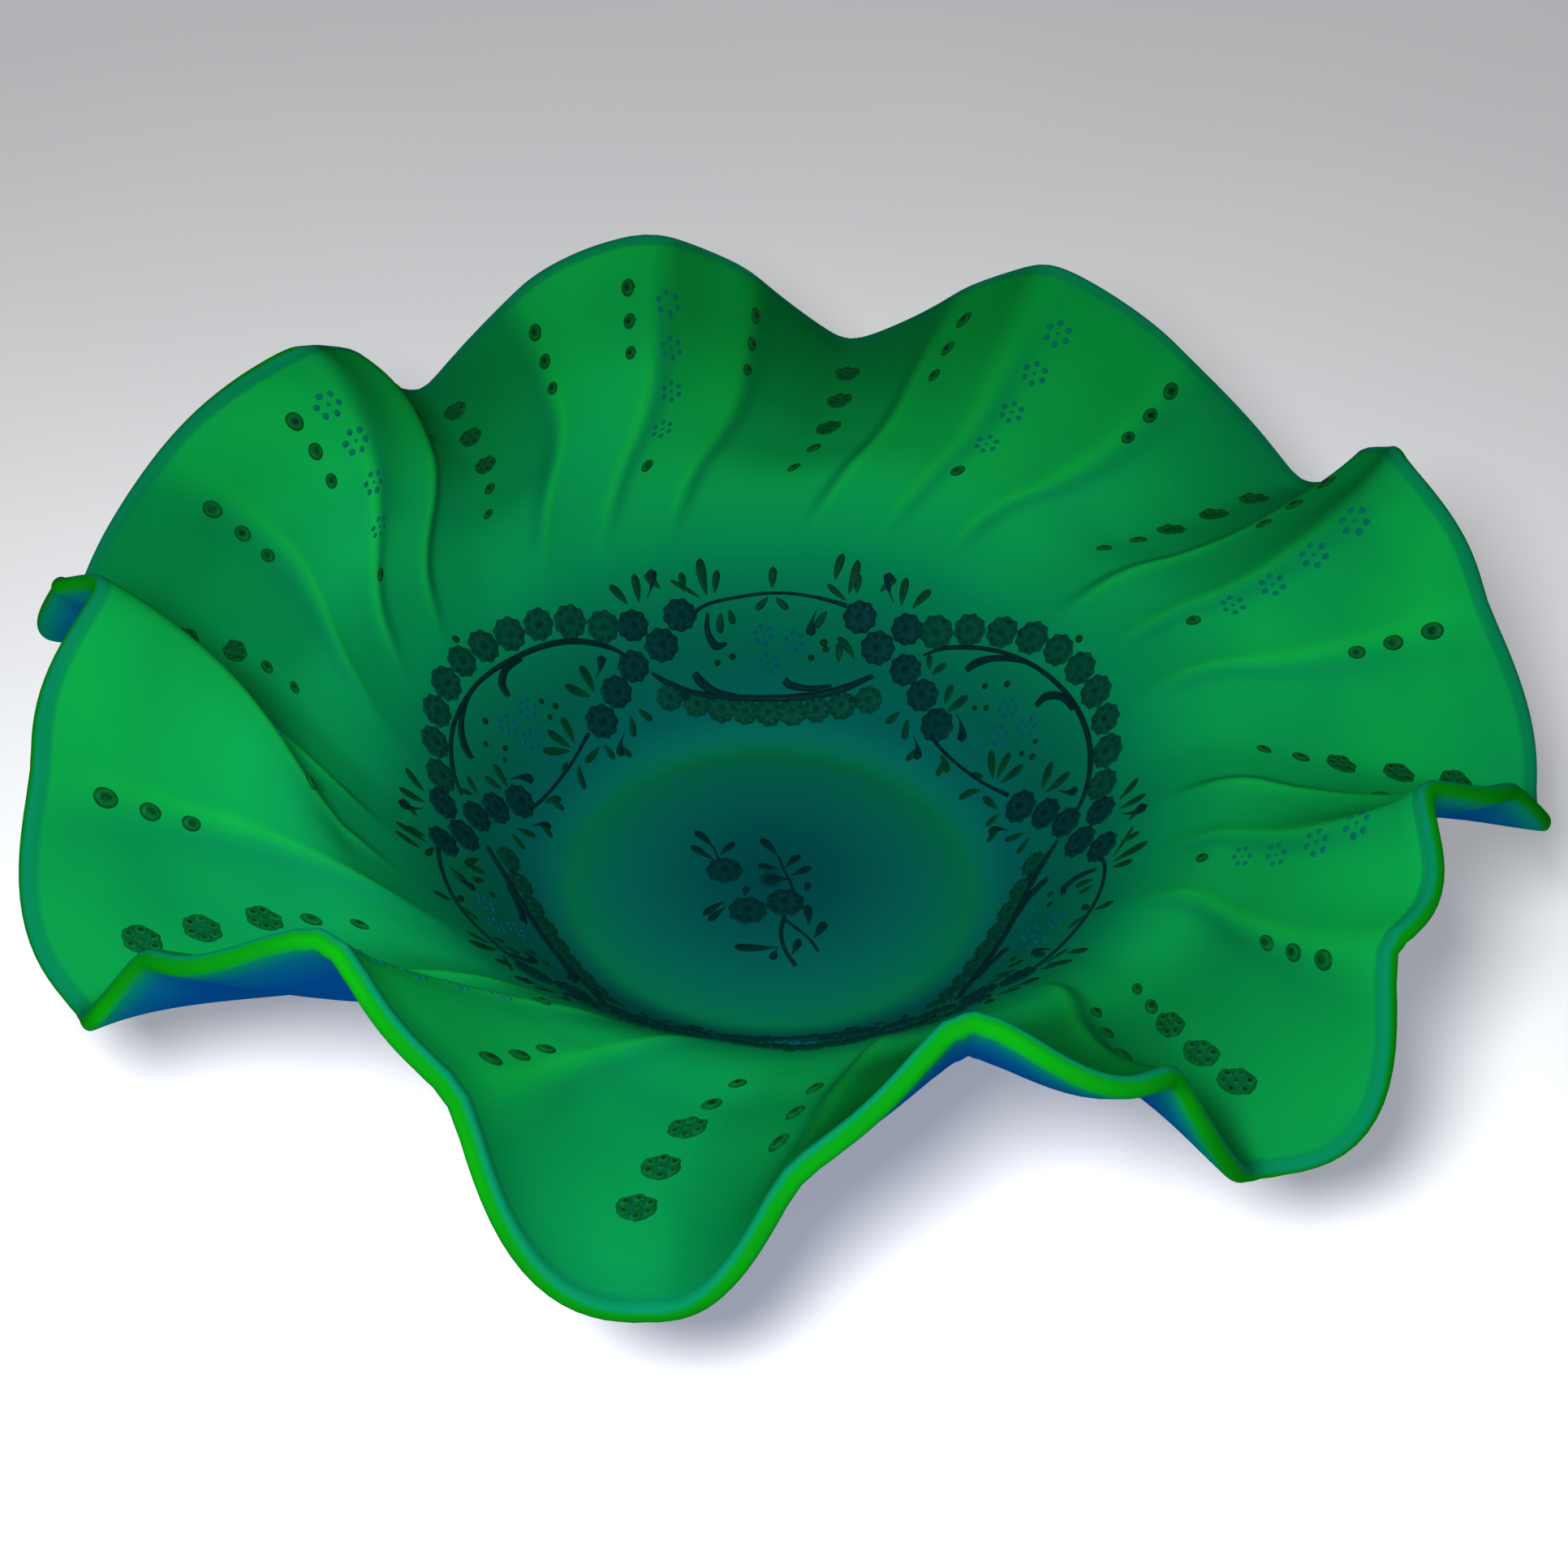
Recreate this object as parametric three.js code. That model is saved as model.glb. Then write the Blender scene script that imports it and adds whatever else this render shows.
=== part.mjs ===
// Ruffled cased-glass bowl with a uranium-glass lining and raised enamel decoration.
// Millimetres, +Z up.  Origin: centre of the flat ground base, on the surface the bowl rests on.
// Angles are in degrees, counter-clockwise from +X seen from above.
import * as THREE from 'three';

// ---- driving dimensions -------------------------------------------------------------------
const BASE_RADIUS = 39;          // flat ground resting face
const FOOT_RADIUS = 42;          // widest part of the thick foot, above its ground edge
const WELL_RADIUS = 42;          // flat round well inside the bowl
const WELL_HEIGHT = 8;           // inside face of the well above the resting face
const LINING_THICKNESS = 1.3;    // inner layer of uranium glass
const LAYER_GAP = 0.3;           // modelled clearance between touching pieces
const GLASS_THICKNESS = 3.2;     // both layers together
const BEAD_HEIGHT = 1.6;         // how far the fire-polished rim bead stands past the layers
const ENAMEL_RELIEF = 0.7;       // how far the raised enamel stands up

const RUFFLES = 8;
const RUFFLE_PITCH = 360 / RUFFLES;
const RIB_OFFSET = RUFFLE_PITCH / 4;   // minor rib, half way between a trough and a crest
const FIRST_TROUGH = -8;         // angle of the first trough at the rim
const SWIRL = 6;                 // the pleats lean back by this much between the wall and the rim
const RIB_ROUNDING = 1.1;        // angle that sets how softly the pleat edges are rounded
const CREST_ROUNDING = 1.6;      // how much more than that at the crests

// Profiles from the edge of the well to the rim, as [radius, height] at each level.
const LEVELS = [0, 0.12, 0.26, 0.44, 0.58, 0.72, 0.86, 1];
const WALL = [[42, 8], [51, 14.5], [63, 26.5]];
const CREST = [...WALL, [87, 53], [98, 65], [107, 76.5], [114.5, 87.5], [118.5, 96.5]];
const MINOR_RIB = [...WALL, [87, 52.5], [100, 60], [112, 66], [123, 73.5], [132, 80.5]];
const TROUGH = [...WALL, [87, 49], [101, 53.5], [116, 54.5], [131, 55], [144.5, 54]];

// Each ruffle was drawn out by hand, so the eight are not alike: [radius, height, angle] away
// from the even shape at the rim, starting at FIRST_TROUGH and going counter-clockwise.
const TROUGH_DRAW = [
  [-1, 0, 0], [3, 2, 0], [3, 3, 2.5], [4, 0, 0], [1, -1, 0], [-6, 0, 0.5], [-3, 6, 2.5], [-14, -3.5, -0.5],
];
// The crests have two more numbers: how far they arch up and inwards, and how far they bow
// sideways, half-way to the rim.
const CREST_DRAW = [
  [-5, -3, 0, 0, 0], [2, 1, 2.5, 0, 0], [1, 3, 3, 0, 2], [3, 1, 0.5, 0, 0],
  [-6, 1, -1.5, 0, -5], [-7, 5, -1, 6.5, 0], [0.5, 3, 0.5, 0, 0], [-2.5, 3.5, -0.7, 0, 0],
];
// The same for the minor ribs after and before each trough: radius, height, angle, how far the
// glass swells out from the rib to the crest and from the rib to the trough, and the bow.
const RIB_AFTER = [
  [0.5, 0, 0, 4, 3.5, 0], [1, 1, 0, 4, 3.5, -1.5], [1.5, 0.5, 1, 4, 3.5, 0], [-2.5, 0.5, -1, 4, 3.5, -4],
  [-1.5, 3, -0.5, 5, 3.5, 0], [1.5, 2.5, -1, 6, 3.5, 0], [0, -1, -1.7, 2.5, 3.5, 0], [-6, 0, -0.5, 8, 10, 0],
];
const RIB_BEFORE = [
  [0.5, -1.5, 0, 4, 3.5, 0], [1, 2, 0.5, 4, 3.5, 0], [0, 1.5, 2, 4, 3.5, 2], [3, 0, 3, 9.5, 3.5, 0],
  [1, 0, 1, 4.5, 3.5, -2], [0, 1, 0, 5, 5, 0], [-3, 2, 1.5, 2.5, 6.5, 0], [-3.5, 5, 1, 9, 3.5, 0],
];

// Enamel ornament on the wall: six cartouches, joined by bars of blossoms.
const CARTOUCHES = 6;
const CARTOUCHE_PITCH = 360 / CARTOUCHES;
const FIRST_CARTOUCHE = 32.35;
const CARTOUCHE_RADIUS = 61;
const FRAME_HALF_ANGLE = 21;
const FRAME_HALF_DEPTH = 8;
const FRAME_LINE_WIDTH = 1.1;
const BLOSSOM_RADIUS = 2.4;

// Grid shared by both glass layers, the rim and the enamel that lies on them.
const COLUMNS = 96;
const ROWS = [0, 0.06, 0.12, 0.19, 0.26, 0.35, 0.44, 0.58, 0.72, 0.86, 1];

const radians = (degrees) => degrees * Math.PI / 180;
const clamp = (value) => Math.min(1, Math.max(0, value));
const wrap = (index, count) => ((index % count) + count) % count;

// ---- shape of the inside surface ------------------------------------------------------------

// Smooth curve through a profile's points; returns [radius, height] at a level from 0 to 1.
function alongProfile(points, level) {
  const last = LEVELS.length - 1;
  let i = 0;
  while (i < last - 1 && level > LEVELS[i + 1]) i += 1;
  const step = LEVELS[i + 1] - LEVELS[i];
  const s = (level - LEVELS[i]) / step;
  const slope = (k, axis) => {
    const a = Math.max(0, k - 1);
    const b = Math.min(last, k + 1);
    const chord = (points[b][axis] - points[a][axis]) / (LEVELS[b] - LEVELS[a]);
    return k === 0 && axis === 1 ? 0.25 * chord : chord;
  };
  return [0, 1].map((axis) => (
    (2 * s ** 3 - 3 * s ** 2 + 1) * points[i][axis]
    + (s ** 3 - 2 * s ** 2 + s) * step * slope(i, axis)
    + (3 * s ** 2 - 2 * s ** 3) * points[i + 1][axis]
    + (s ** 3 - s ** 2) * step * slope(i + 1, axis)
  ));
}

// [radius, height, swing, closeness to a crest] of the sharp-edged pleats.
function sharpPleat(angle, level) {
  const turns = (angle - FIRST_TROUGH) / RUFFLE_PITCH;
  const trough = Math.round(turns);
  const away = (turns - trough) * RUFFLE_PITCH;
  const after = away >= 0;
  const toRib = clamp(Math.abs(away) / RIB_OFFSET);
  const toCrest = clamp((Math.abs(away) - RIB_OFFSET) / RIB_OFFSET);
  const flare = clamp((level - 0.44) / 0.56);
  const drawn = flare ** 1.5;
  const troughDraw = TROUGH_DRAW[wrap(trough, RUFFLES)];
  const crestDraw = CREST_DRAW[wrap(after ? trough + 1 : trough, RUFFLES)];
  const ribDraw = (after ? RIB_AFTER : RIB_BEFORE)[wrap(trough, RUFFLES)];
  const crestBelly = ribDraw[3] * Math.sin(Math.PI * toCrest);
  const troughBelly = ribDraw[4] * Math.sin(Math.PI * toRib);
  const belly = [crestBelly + troughBelly, -0.25 * crestBelly - 0.3 * troughBelly];
  const halfway = Math.sin(Math.PI * flare);
  const rise = halfway * crestDraw[3];
  const arch = [-rise, rise];
  const shape = [0, 1].map((axis) => {
    const t = alongProfile(TROUGH, level)[axis] + drawn * troughDraw[axis];
    const c = alongProfile(CREST, level)[axis] + drawn * crestDraw[axis] + arch[axis];
    const r = alongProfile(MINOR_RIB, level)[axis] + drawn * ribDraw[axis];
    return t + (r - t) * toRib ** 1.3 + (c - r) * toCrest + flare * belly[axis];
  });
  const swing = troughDraw[2] + (ribDraw[2] - troughDraw[2]) * toRib + (crestDraw[2] - ribDraw[2]) * toCrest;
  const bow = halfway * (ribDraw[5] * toRib + (crestDraw[4] - ribDraw[5]) * toCrest);
  return [...shape, drawn * swing + bow, toCrest];
}

// How far the pleats have swung back at a level, in degrees.
function swirlAt(level) {
  const s = clamp((level - 0.3) / 0.7);
  return SWIRL * (1 - s * s * (3 - 2 * s));
}

// Point of the inside surface: the pleats with their edges rounded.
function insidePoint(angle, level) {
  const step = RIB_ROUNDING + CREST_ROUNDING * sharpPleat(angle, level)[3];
  const soft = [0, 0, 0];
  [1, 4, 6, 4, 1].forEach((weight, i) => {
    const sharp = sharpPleat(angle + (i - 2) * step, level);
    soft.forEach((_, axis) => { soft[axis] += weight / 16 * sharp[axis]; });
  });
  const turned = radians(angle + soft[2] + swirlAt(level));
  return new THREE.Vector3(soft[0] * Math.cos(turned), soft[0] * Math.sin(turned), soft[1]);
}

// Direction from the inside surface towards the outside of the bowl.
function outward(angle, level) {
  const low = Math.max(0, level - 0.01);
  const high = Math.min(1, level + 0.01);
  const up = insidePoint(angle, high).sub(insidePoint(angle, low));
  const round = insidePoint(angle + 1, level).sub(insidePoint(angle - 1, level));
  return round.cross(up).normalize();
}

const columnAngle = (column) => FIRST_TROUGH + column * 360 / COLUMNS;

// ---- mesh helpers ---------------------------------------------------------------------------

// Closed mesh from rings of equal size.  Rings are joined in order; the ends are either closed
// with a fan to a pole point or, when no poles are given, joined to each other.  From ring
// turnBack on, the rings run back down the glass, and their quads are split along the other
// diagonal, so that the facets of facing surfaces lie parallel.
function closedRings(rings, poles, turnBack = Infinity) {
  const size = rings[0].length;
  const vertices = rings.flat();
  const faces = [];
  const join = (a, b) => {
    for (let i = 0; i < size; i += 1) {
      const k = (i + 1) % size;
      if (a < turnBack) {
        faces.push([a * size + i, a * size + k, b * size + k]);
        faces.push([a * size + i, b * size + k, b * size + i]);
      } else {
        faces.push([a * size + i, a * size + k, b * size + i]);
        faces.push([a * size + k, b * size + k, b * size + i]);
      }
    }
  };
  for (let r = 0; r + 1 < rings.length; r += 1) join(r, r + 1);
  if (poles) {
    const first = vertices.push(poles[0]) - 1;
    const last = vertices.push(poles[1]) - 1;
    const end = (rings.length - 1) * size;
    for (let i = 0; i < size; i += 1) {
      const k = (i + 1) % size;
      faces.push([first, k, i]);
      faces.push([last, end + i, end + k]);
    }
  } else {
    join(rings.length - 1, 0);
  }
  return toGeometry(vertices, faces);
}

// Indexed geometry with its faces turned to point out of the solid.
function toGeometry(vertices, faces) {
  let volume = 0;
  for (const [a, b, c] of faces) {
    volume += vertices[a].dot(vertices[b].clone().cross(vertices[c]));
  }
  const outwardFaces = volume < 0 ? faces.map(([a, b, c]) => [a, c, b]) : faces;
  const geometry = new THREE.BufferGeometry();
  const positions = vertices.flatMap((v) => [v.x, v.y, v.z]);
  geometry.setAttribute('position', new THREE.Float32BufferAttribute(positions, 3));
  geometry.setIndex(outwardFaces.flat());
  geometry.computeVertexNormals();
  return geometry;
}

function ringOnSurface(level, depth) {
  const ring = [];
  for (let c = 0; c < COLUMNS; c += 1) {
    const angle = columnAngle(c);
    ring.push(insidePoint(angle, level).addScaledVector(outward(angle, level), depth));
  }
  return ring;
}

// Level circle whose points are lined up with the columns of the glass.
function flatRing(radius, height) {
  const ring = [];
  for (let c = 0; c < COLUMNS; c += 1) {
    const angle = radians(columnAngle(c) + SWIRL);
    ring.push(new THREE.Vector3(radius * Math.cos(angle), radius * Math.sin(angle), height));
  }
  return ring;
}

// ---- glass pieces ---------------------------------------------------------------------------

function uraniumLining() {
  const inner = ROWS.map((level) => ringOnSurface(level, 0));
  const outer = ROWS.map((level) => ringOnSurface(level, LINING_THICKNESS)).reverse();
  const top = new THREE.Vector3(0, 0, WELL_HEIGHT);
  const under = new THREE.Vector3(0, 0, WELL_HEIGHT - LINING_THICKNESS);
  return closedRings([...inner, ...outer], [top, under], ROWS.length);
}

function outerCasing() {
  const inner = ROWS.map((level) => ringOnSurface(level, LINING_THICKNESS + LAYER_GAP));
  const outer = ROWS.slice(2).map((level) => ringOnSurface(level, GLASS_THICKNESS)).reverse();
  const foot = [
    flatRing(FOOT_RADIUS + 5, 7.2),
    flatRing(FOOT_RADIUS + 1, 4),
    flatRing(FOOT_RADIUS, 1.4),
    flatRing(BASE_RADIUS + 1.6, 0.3),
    flatRing(BASE_RADIUS, 0),
  ];
  const top = new THREE.Vector3(0, 0, WELL_HEIGHT - LINING_THICKNESS - LAYER_GAP);
  const under = new THREE.Vector3(0, 0, 0);
  return closedRings([...inner, ...outer, ...foot], [top, under], ROWS.length);
}

// D-shaped bead that closes the edge of both layers all the way round.
function rimBead() {
  const section = [
    [0, LAYER_GAP],
    [0.3, LAYER_GAP + 0.65 * BEAD_HEIGHT],
    [1.1, LAYER_GAP + BEAD_HEIGHT],
    [2.1, LAYER_GAP + BEAD_HEIGHT],
    [2.9, LAYER_GAP + 0.65 * BEAD_HEIGHT],
    [GLASS_THICKNESS, LAYER_GAP],
    [GLASS_THICKNESS / 2, LAYER_GAP],
  ];
  const rings = section.map(() => []);
  for (let c = 0; c < COLUMNS; c += 1) {
    const angle = columnAngle(c);
    const edge = insidePoint(angle, 1);
    const out = outward(angle, 1);
    const along = insidePoint(angle + 1, 1).sub(insidePoint(angle - 1, 1));
    const past = out.clone().cross(along).normalize();
    section.forEach(([depth, beyond], k) => {
      rings[k].push(edge.clone().addScaledVector(out, depth).addScaledVector(past, beyond));
    });
  }
  return closedRings(rings, null, section.length - 2);
}

// ---- enamel on the lining -------------------------------------------------------------------

// Corners of the lining's inside facets, kept so that the enamel follows them exactly.
const facetGrid = ROWS.map((level) => ringOnSurface(level, 0));

// Point on the facets of the lining at a rim angle and a level, raised by a height.
function onLining(angle, level, raised) {
  let row = 0;
  while (row < ROWS.length - 2 && level > ROWS[row + 1]) row += 1;
  const v = (level - ROWS[row]) / (ROWS[row + 1] - ROWS[row]);
  const place = (angle - FIRST_TROUGH) * COLUMNS / 360;
  const column = Math.floor(place);
  const u = place - column;
  const a = facetGrid[row][wrap(column, COLUMNS)];
  const b = facetGrid[row][wrap(column + 1, COLUMNS)];
  const c = facetGrid[row + 1][wrap(column + 1, COLUMNS)];
  const d = facetGrid[row + 1][wrap(column, COLUMNS)];
  const point = a.clone();
  if (u > v) {
    point.addScaledVector(b.clone().sub(a), u).addScaledVector(c.clone().sub(b), v);
  } else {
    point.addScaledVector(d.clone().sub(a), v).addScaledVector(c.clone().sub(d), u);
  }
  return point.addScaledVector(outward(angle, level), -raised);
}

// Level at which the round wall has a given radius.
function wallLevel(radius) {
  let low = 0;
  let high = 0.44;
  for (let k = 0; k < 30; k += 1) {
    const middle = (low + high) / 2;
    if (alongProfile(TROUGH, middle)[0] < radius) low = middle;
    else high = middle;
  }
  return (low + high) / 2;
}

// Point above the wall or the well at a true angle and radius.
function onWall(angle, radius, raised) {
  if (radius < WELL_RADIUS) {
    const a = radians(angle);
    return new THREE.Vector3(radius * Math.cos(a), radius * Math.sin(a), WELL_HEIGHT + raised);
  }
  const level = wallLevel(radius);
  return onLining(angle - swirlAt(level), level, raised);
}

// Raised line of enamel along a path of [angle, radius], with its half-width at each station.
function enamelStrip(path, halfWidths, closed) {
  const flat = path.map(([angle, radius]) => [
    radius * Math.cos(radians(angle)),
    radius * Math.sin(radians(angle)),
  ]);
  const count = path.length;
  const low = LAYER_GAP;
  const high = LAYER_GAP + ENAMEL_RELIEF;
  const sections = flat.map(([x, y], i) => {
    const before = flat[closed ? wrap(i - 1, count) : Math.max(0, i - 1)];
    const after = flat[closed ? wrap(i + 1, count) : Math.min(count - 1, i + 1)];
    const length = Math.hypot(after[0] - before[0], after[1] - before[1]);
    const sideX = -(after[1] - before[1]) / length;
    const sideY = (after[0] - before[0]) / length;
    const at = (side, raised) => {
      const px = x + sideX * side;
      const py = y + sideY * side;
      return onWall(Math.atan2(py, px) * 180 / Math.PI, Math.hypot(px, py), raised);
    };
    const w = halfWidths[i];
    return [at(-w, low), at(w, low), at(0.6 * w, high), at(-0.6 * w, high)];
  });
  if (closed) return closedRings(sections, null);
  const middle = (s) => s[0].clone().add(s[1]).add(s[2]).add(s[3]).multiplyScalar(0.25);
  return closedRings(sections, [middle(sections[0]), middle(sections[count - 1])]);
}

// Row of touching blossoms fused into one strip with scalloped sides.
function blossomRow(path, blossoms, radius) {
  const stations = [];
  const widths = [];
  const perBlossom = 3;
  const total = blossoms * perBlossom;
  for (let i = 0; i <= total; i += 1) {
    stations.push(path(i / total));
    widths.push(radius * (0.45 + 0.55 * Math.abs(Math.sin(Math.PI * i / perBlossom))));
  }
  return enamelStrip(stations, widths, false);
}

// Low dome of enamel; place(dx, dy, raised) puts its points on the glass.
function enamelDome(place, radius) {
  const sides = 8;
  const ring = (r, raised) => {
    const points = [];
    for (let i = 0; i < sides; i += 1) {
      const a = 2 * Math.PI * i / sides;
      points.push(place(r * Math.cos(a), r * Math.sin(a), raised));
    }
    return points;
  };
  const low = LAYER_GAP;
  const high = LAYER_GAP + ENAMEL_RELIEF;
  return closedRings(
    [ring(radius, low), ring(0.7 * radius, high)],
    [place(0, 0, low), place(0, 0, high + 0.1)],
  );
}

const cartoucheAngle = (k) => FIRST_CARTOUCHE + k * CARTOUCHE_PITCH;
const hasOuterChain = (k) => k % 2 === 0;

function cartoucheFrame(k) {
  const stations = [];
  const count = 28;
  for (let i = 0; i < count; i += 1) {
    const a = 2 * Math.PI * i / count;
    stations.push([
      cartoucheAngle(k) + FRAME_HALF_ANGLE * Math.cos(a),
      CARTOUCHE_RADIUS + FRAME_HALF_DEPTH * Math.sin(a),
    ]);
  }
  return enamelStrip(stations, stations.map(() => FRAME_LINE_WIDTH / 2), true);
}

// Chain of blossoms along the upper or the lower side of a cartouche, alternating round the bowl.
function blossomChain(k) {
  const half = hasOuterChain(k) ? 21 : 19;
  const path = (s) => {
    const away = 2 * s - 1;
    const radius = hasOuterChain(k) ? 74 - 4.5 * away ** 2 : 49 + 0.8 * away ** 2;
    return [cartoucheAngle(k) + half * away, radius];
  };
  return blossomRow(path, hasOuterChain(k) ? 10 : 8, BLOSSOM_RADIUS);
}

// Slanting bar of blossoms between cartouche k and the next one.
function joiningBar(k) {
  const centre = cartoucheAngle(k) + CARTOUCHE_PITCH / 2;
  const lean = hasOuterChain(k) ? 1 : -1;
  const path = (s) => [centre + lean * (16 * s - 8), 54.5 + 12 * s];
  return blossomRow(path, 4, BLOSSOM_RADIUS);
}

// Spray in the well: three blossoms and a stem, as [x, y].
const SPRAY_BLOSSOMS = [[-10.2, 2.2], [-4.3, -10.3], [3.2, -6.8]];

function sprayBlossom(x, y) {
  const place = (dx, dy, raised) => new THREE.Vector3(x + dx, y + dy, WELL_HEIGHT + raised);
  return enamelDome(place, 3.2);
}

function sprayStem() {
  const stations = [];
  for (let i = 0; i <= 8; i += 1) {
    const s = i / 8;
    const x = 4.2 + 4 * s + 1.2 * Math.sin(Math.PI * s);
    const y = -11 - 10 * s;
    stations.push([Math.atan2(y, x) * 180 / Math.PI, Math.hypot(x, y)]);
  }
  return enamelStrip(stations, stations.map(() => 0.5), false);
}

// Flower disc on the centre line of a trough.
function troughFlower(k, level, radius) {
  const angle = FIRST_TROUGH + k * RUFFLE_PITCH;
  const here = insidePoint(angle, level);
  const perDegree = insidePoint(angle + 1, level).distanceTo(here);
  const perLevel = insidePoint(angle, level + 0.01).distanceTo(here) * 100;
  const place = (dx, dy, raised) => onLining(angle + dx / perDegree, level + dy / perLevel, raised);
  return enamelDome(place, radius);
}

// ---- assembly -------------------------------------------------------------------------------

const liningGlass = { color: 0x00a050, roughness: 0.15, metalness: 0 };
const casingGlass = { color: 0x1a5aa8, roughness: 0.2, metalness: 0 };
const beadGlass = { color: 0x1ed21e, roughness: 0.1, metalness: 0 };
const darkEnamel = { color: 0x06302c, roughness: 0.35, metalness: 0 };
const brownEnamel = { color: 0x1c3a10, roughness: 0.4, metalness: 0 };

const bowl = new THREE.Group();
bowl.name = 'uranium_glass_dish';

function add(name, geometry, look) {
  const mesh = new THREE.Mesh(geometry, new THREE.MeshStandardMaterial(look));
  mesh.name = name;
  bowl.add(mesh);
}

add('outer_casing', outerCasing(), casingGlass);
add('uranium_lining', uraniumLining(), liningGlass);
add('rim_bead', rimBead(), beadGlass);

for (let k = 0; k < CARTOUCHES; k += 1) {
  add(`cartouche_frame_${k + 1}`, cartoucheFrame(k), darkEnamel);
  add(`blossom_chain_${k + 1}`, blossomChain(k), darkEnamel);
  add(`joining_bar_${k + 1}`, joiningBar(k), darkEnamel);
}

SPRAY_BLOSSOMS.forEach(([x, y], i) => {
  add(`spray_blossom_${i + 1}`, sprayBlossom(x, y), darkEnamel);
});
add('spray_stem', sprayStem(), darkEnamel);

for (let k = 0; k < RUFFLES; k += 1) {
  [[0.66, 2.9], [0.76, 3.3], [0.85, 3.5]].forEach(([level, radius], i) => {
    add(`trough_flower_${k + 1}_${i + 1}`, troughFlower(k, level, radius), brownEnamel);
  });
}

export default bowl;
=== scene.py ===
"""Looks of the ruffled uranium-glass bowl: fine glass surfaces, rim and raised enamel.

Shapes are worked out in millimetres and turned to metres when a mesh is made.  Angles are in
degrees, counter-clockwise from +X seen from above.  A level says how far up the inside a point
is: 0 at the edge of the well, 1 at the rim.
"""

import math

import bpy
import numpy as np
from mathutils import Matrix, Vector


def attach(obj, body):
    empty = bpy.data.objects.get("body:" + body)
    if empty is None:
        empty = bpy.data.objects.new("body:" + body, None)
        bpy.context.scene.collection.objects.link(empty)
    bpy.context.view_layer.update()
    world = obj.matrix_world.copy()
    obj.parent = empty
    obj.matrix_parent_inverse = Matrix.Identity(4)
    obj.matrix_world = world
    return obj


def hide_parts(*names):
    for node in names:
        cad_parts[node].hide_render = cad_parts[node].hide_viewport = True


MM = 0.001
SHARPEST_SMOOTH_EDGE = 50

# ---- the glass ------------------------------------------------------------------------------
# The driving dimensions are those of the CAD.  The gap between the layers, the height of the rim
# bead and the rounding of the crests suit this finer model.
BASE_RADIUS = 39
FOOT_RADIUS = 42
WELL_RADIUS = 42
WELL_HEIGHT = 8
LINING_THICKNESS = 1.3
GLASS_THICKNESS = 3.2
LAYER_GAP = 0.02
BEAD_HEIGHT = 1.45
RUFFLES = 8
PITCH = 360 / RUFFLES
RIB_OFFSET = PITCH / 4    # minor rib, half way between a trough and a crest
FIRST_TROUGH = -8         # angle of the first trough at the rim
RUFFLE_START = 0.44       # level where the ruffles begin
RIB_ROUNDING = 1.1        # angle that sets how softly the edges of the pleats are rounded
CREST_ROUNDING = 0.8      # how much more than that at the crests
CREST_SOFTNESS = 0.12     # how far the crests are levelled off, as a share of the way to a rib
# Samples that round the edges: steps to the side, and weights that add up to 16.
ROUNDING_SAMPLES = ((-2, 1), (-1, 4), (0, 6), (1, 4), (2, 1))

# Degrees by which the pleats lag behind the rim: all the way down, and more at their foot.
SWIRL = 6
SWIRL_START = 0.3
FOOT_SWIRL = 9
FOOT_SWIRL_UNEVEN = 3
FOOT_SWIRL_PEAK = 140
FOOT_SWIRL_TOP = 0.68
FOOT_SWIRL_REACH = 0.31

# The folds on the inside: their height, their width in ruffles, and for each fold of a ruffle its
# place and strength.  Between its ribs a trough lies back.
FOLD_HEIGHT = 0.7
FOLD_WIDTH = 0.034
FOLDS = ((0.25, 0.65), (0.5, 1.0), (0.75, 0.65))
TROUGH_DIP = 1.2
TROUGH_HALF_WIDTH = 0.195
TROUGH_EDGE = 0.06

LEVELS = np.array([0, 0.12, 0.26, 0.44, 0.58, 0.72, 0.86, 1])
WALL = [(42, 8), (51, 14.5), (63, 26.5)]
CREST = np.array(WALL + [(87, 53), (98, 65), (107, 76.5), (114.5, 87.5), (118.5, 96.5)])
MINOR_RIB = np.array(WALL + [(87, 52.5), (100, 60), (112, 66), (123, 73.5), (132, 80.5)])
TROUGH = np.array(WALL + [(87, 49), (101, 53.5), (116, 54.5), (131, 55), (144.5, 54)])

# How far each hand-drawn trough and crest is from the even shape: radius, height, angle; a crest
# also has how far it arches up and inwards half-way to the rim, and how far it bows sideways.
TROUGH_DRAW = np.array([
    (-1, 0, 0), (3, 2, 0), (3, 3, 2.5), (4, 0, 0), (1, -1, 0), (-6, 0, 0.5), (-3, 6, 2.5), (-14, -3.5, -0.5),
])
CREST_DRAW = np.array([
    (-5, -3, 0, 0, 0), (2, 1, 2.5, 0, 0), (1, 3, 3, 0, 2), (3, 1, 0.5, 0, 0),
    (-6, 1, -1.5, 0, -5), (-7, 5, -1, 6.5, 0), (0.5, 3, 0.5, 0, 0), (-2.5, 3.5, -0.7, 0, 0),
])
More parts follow.
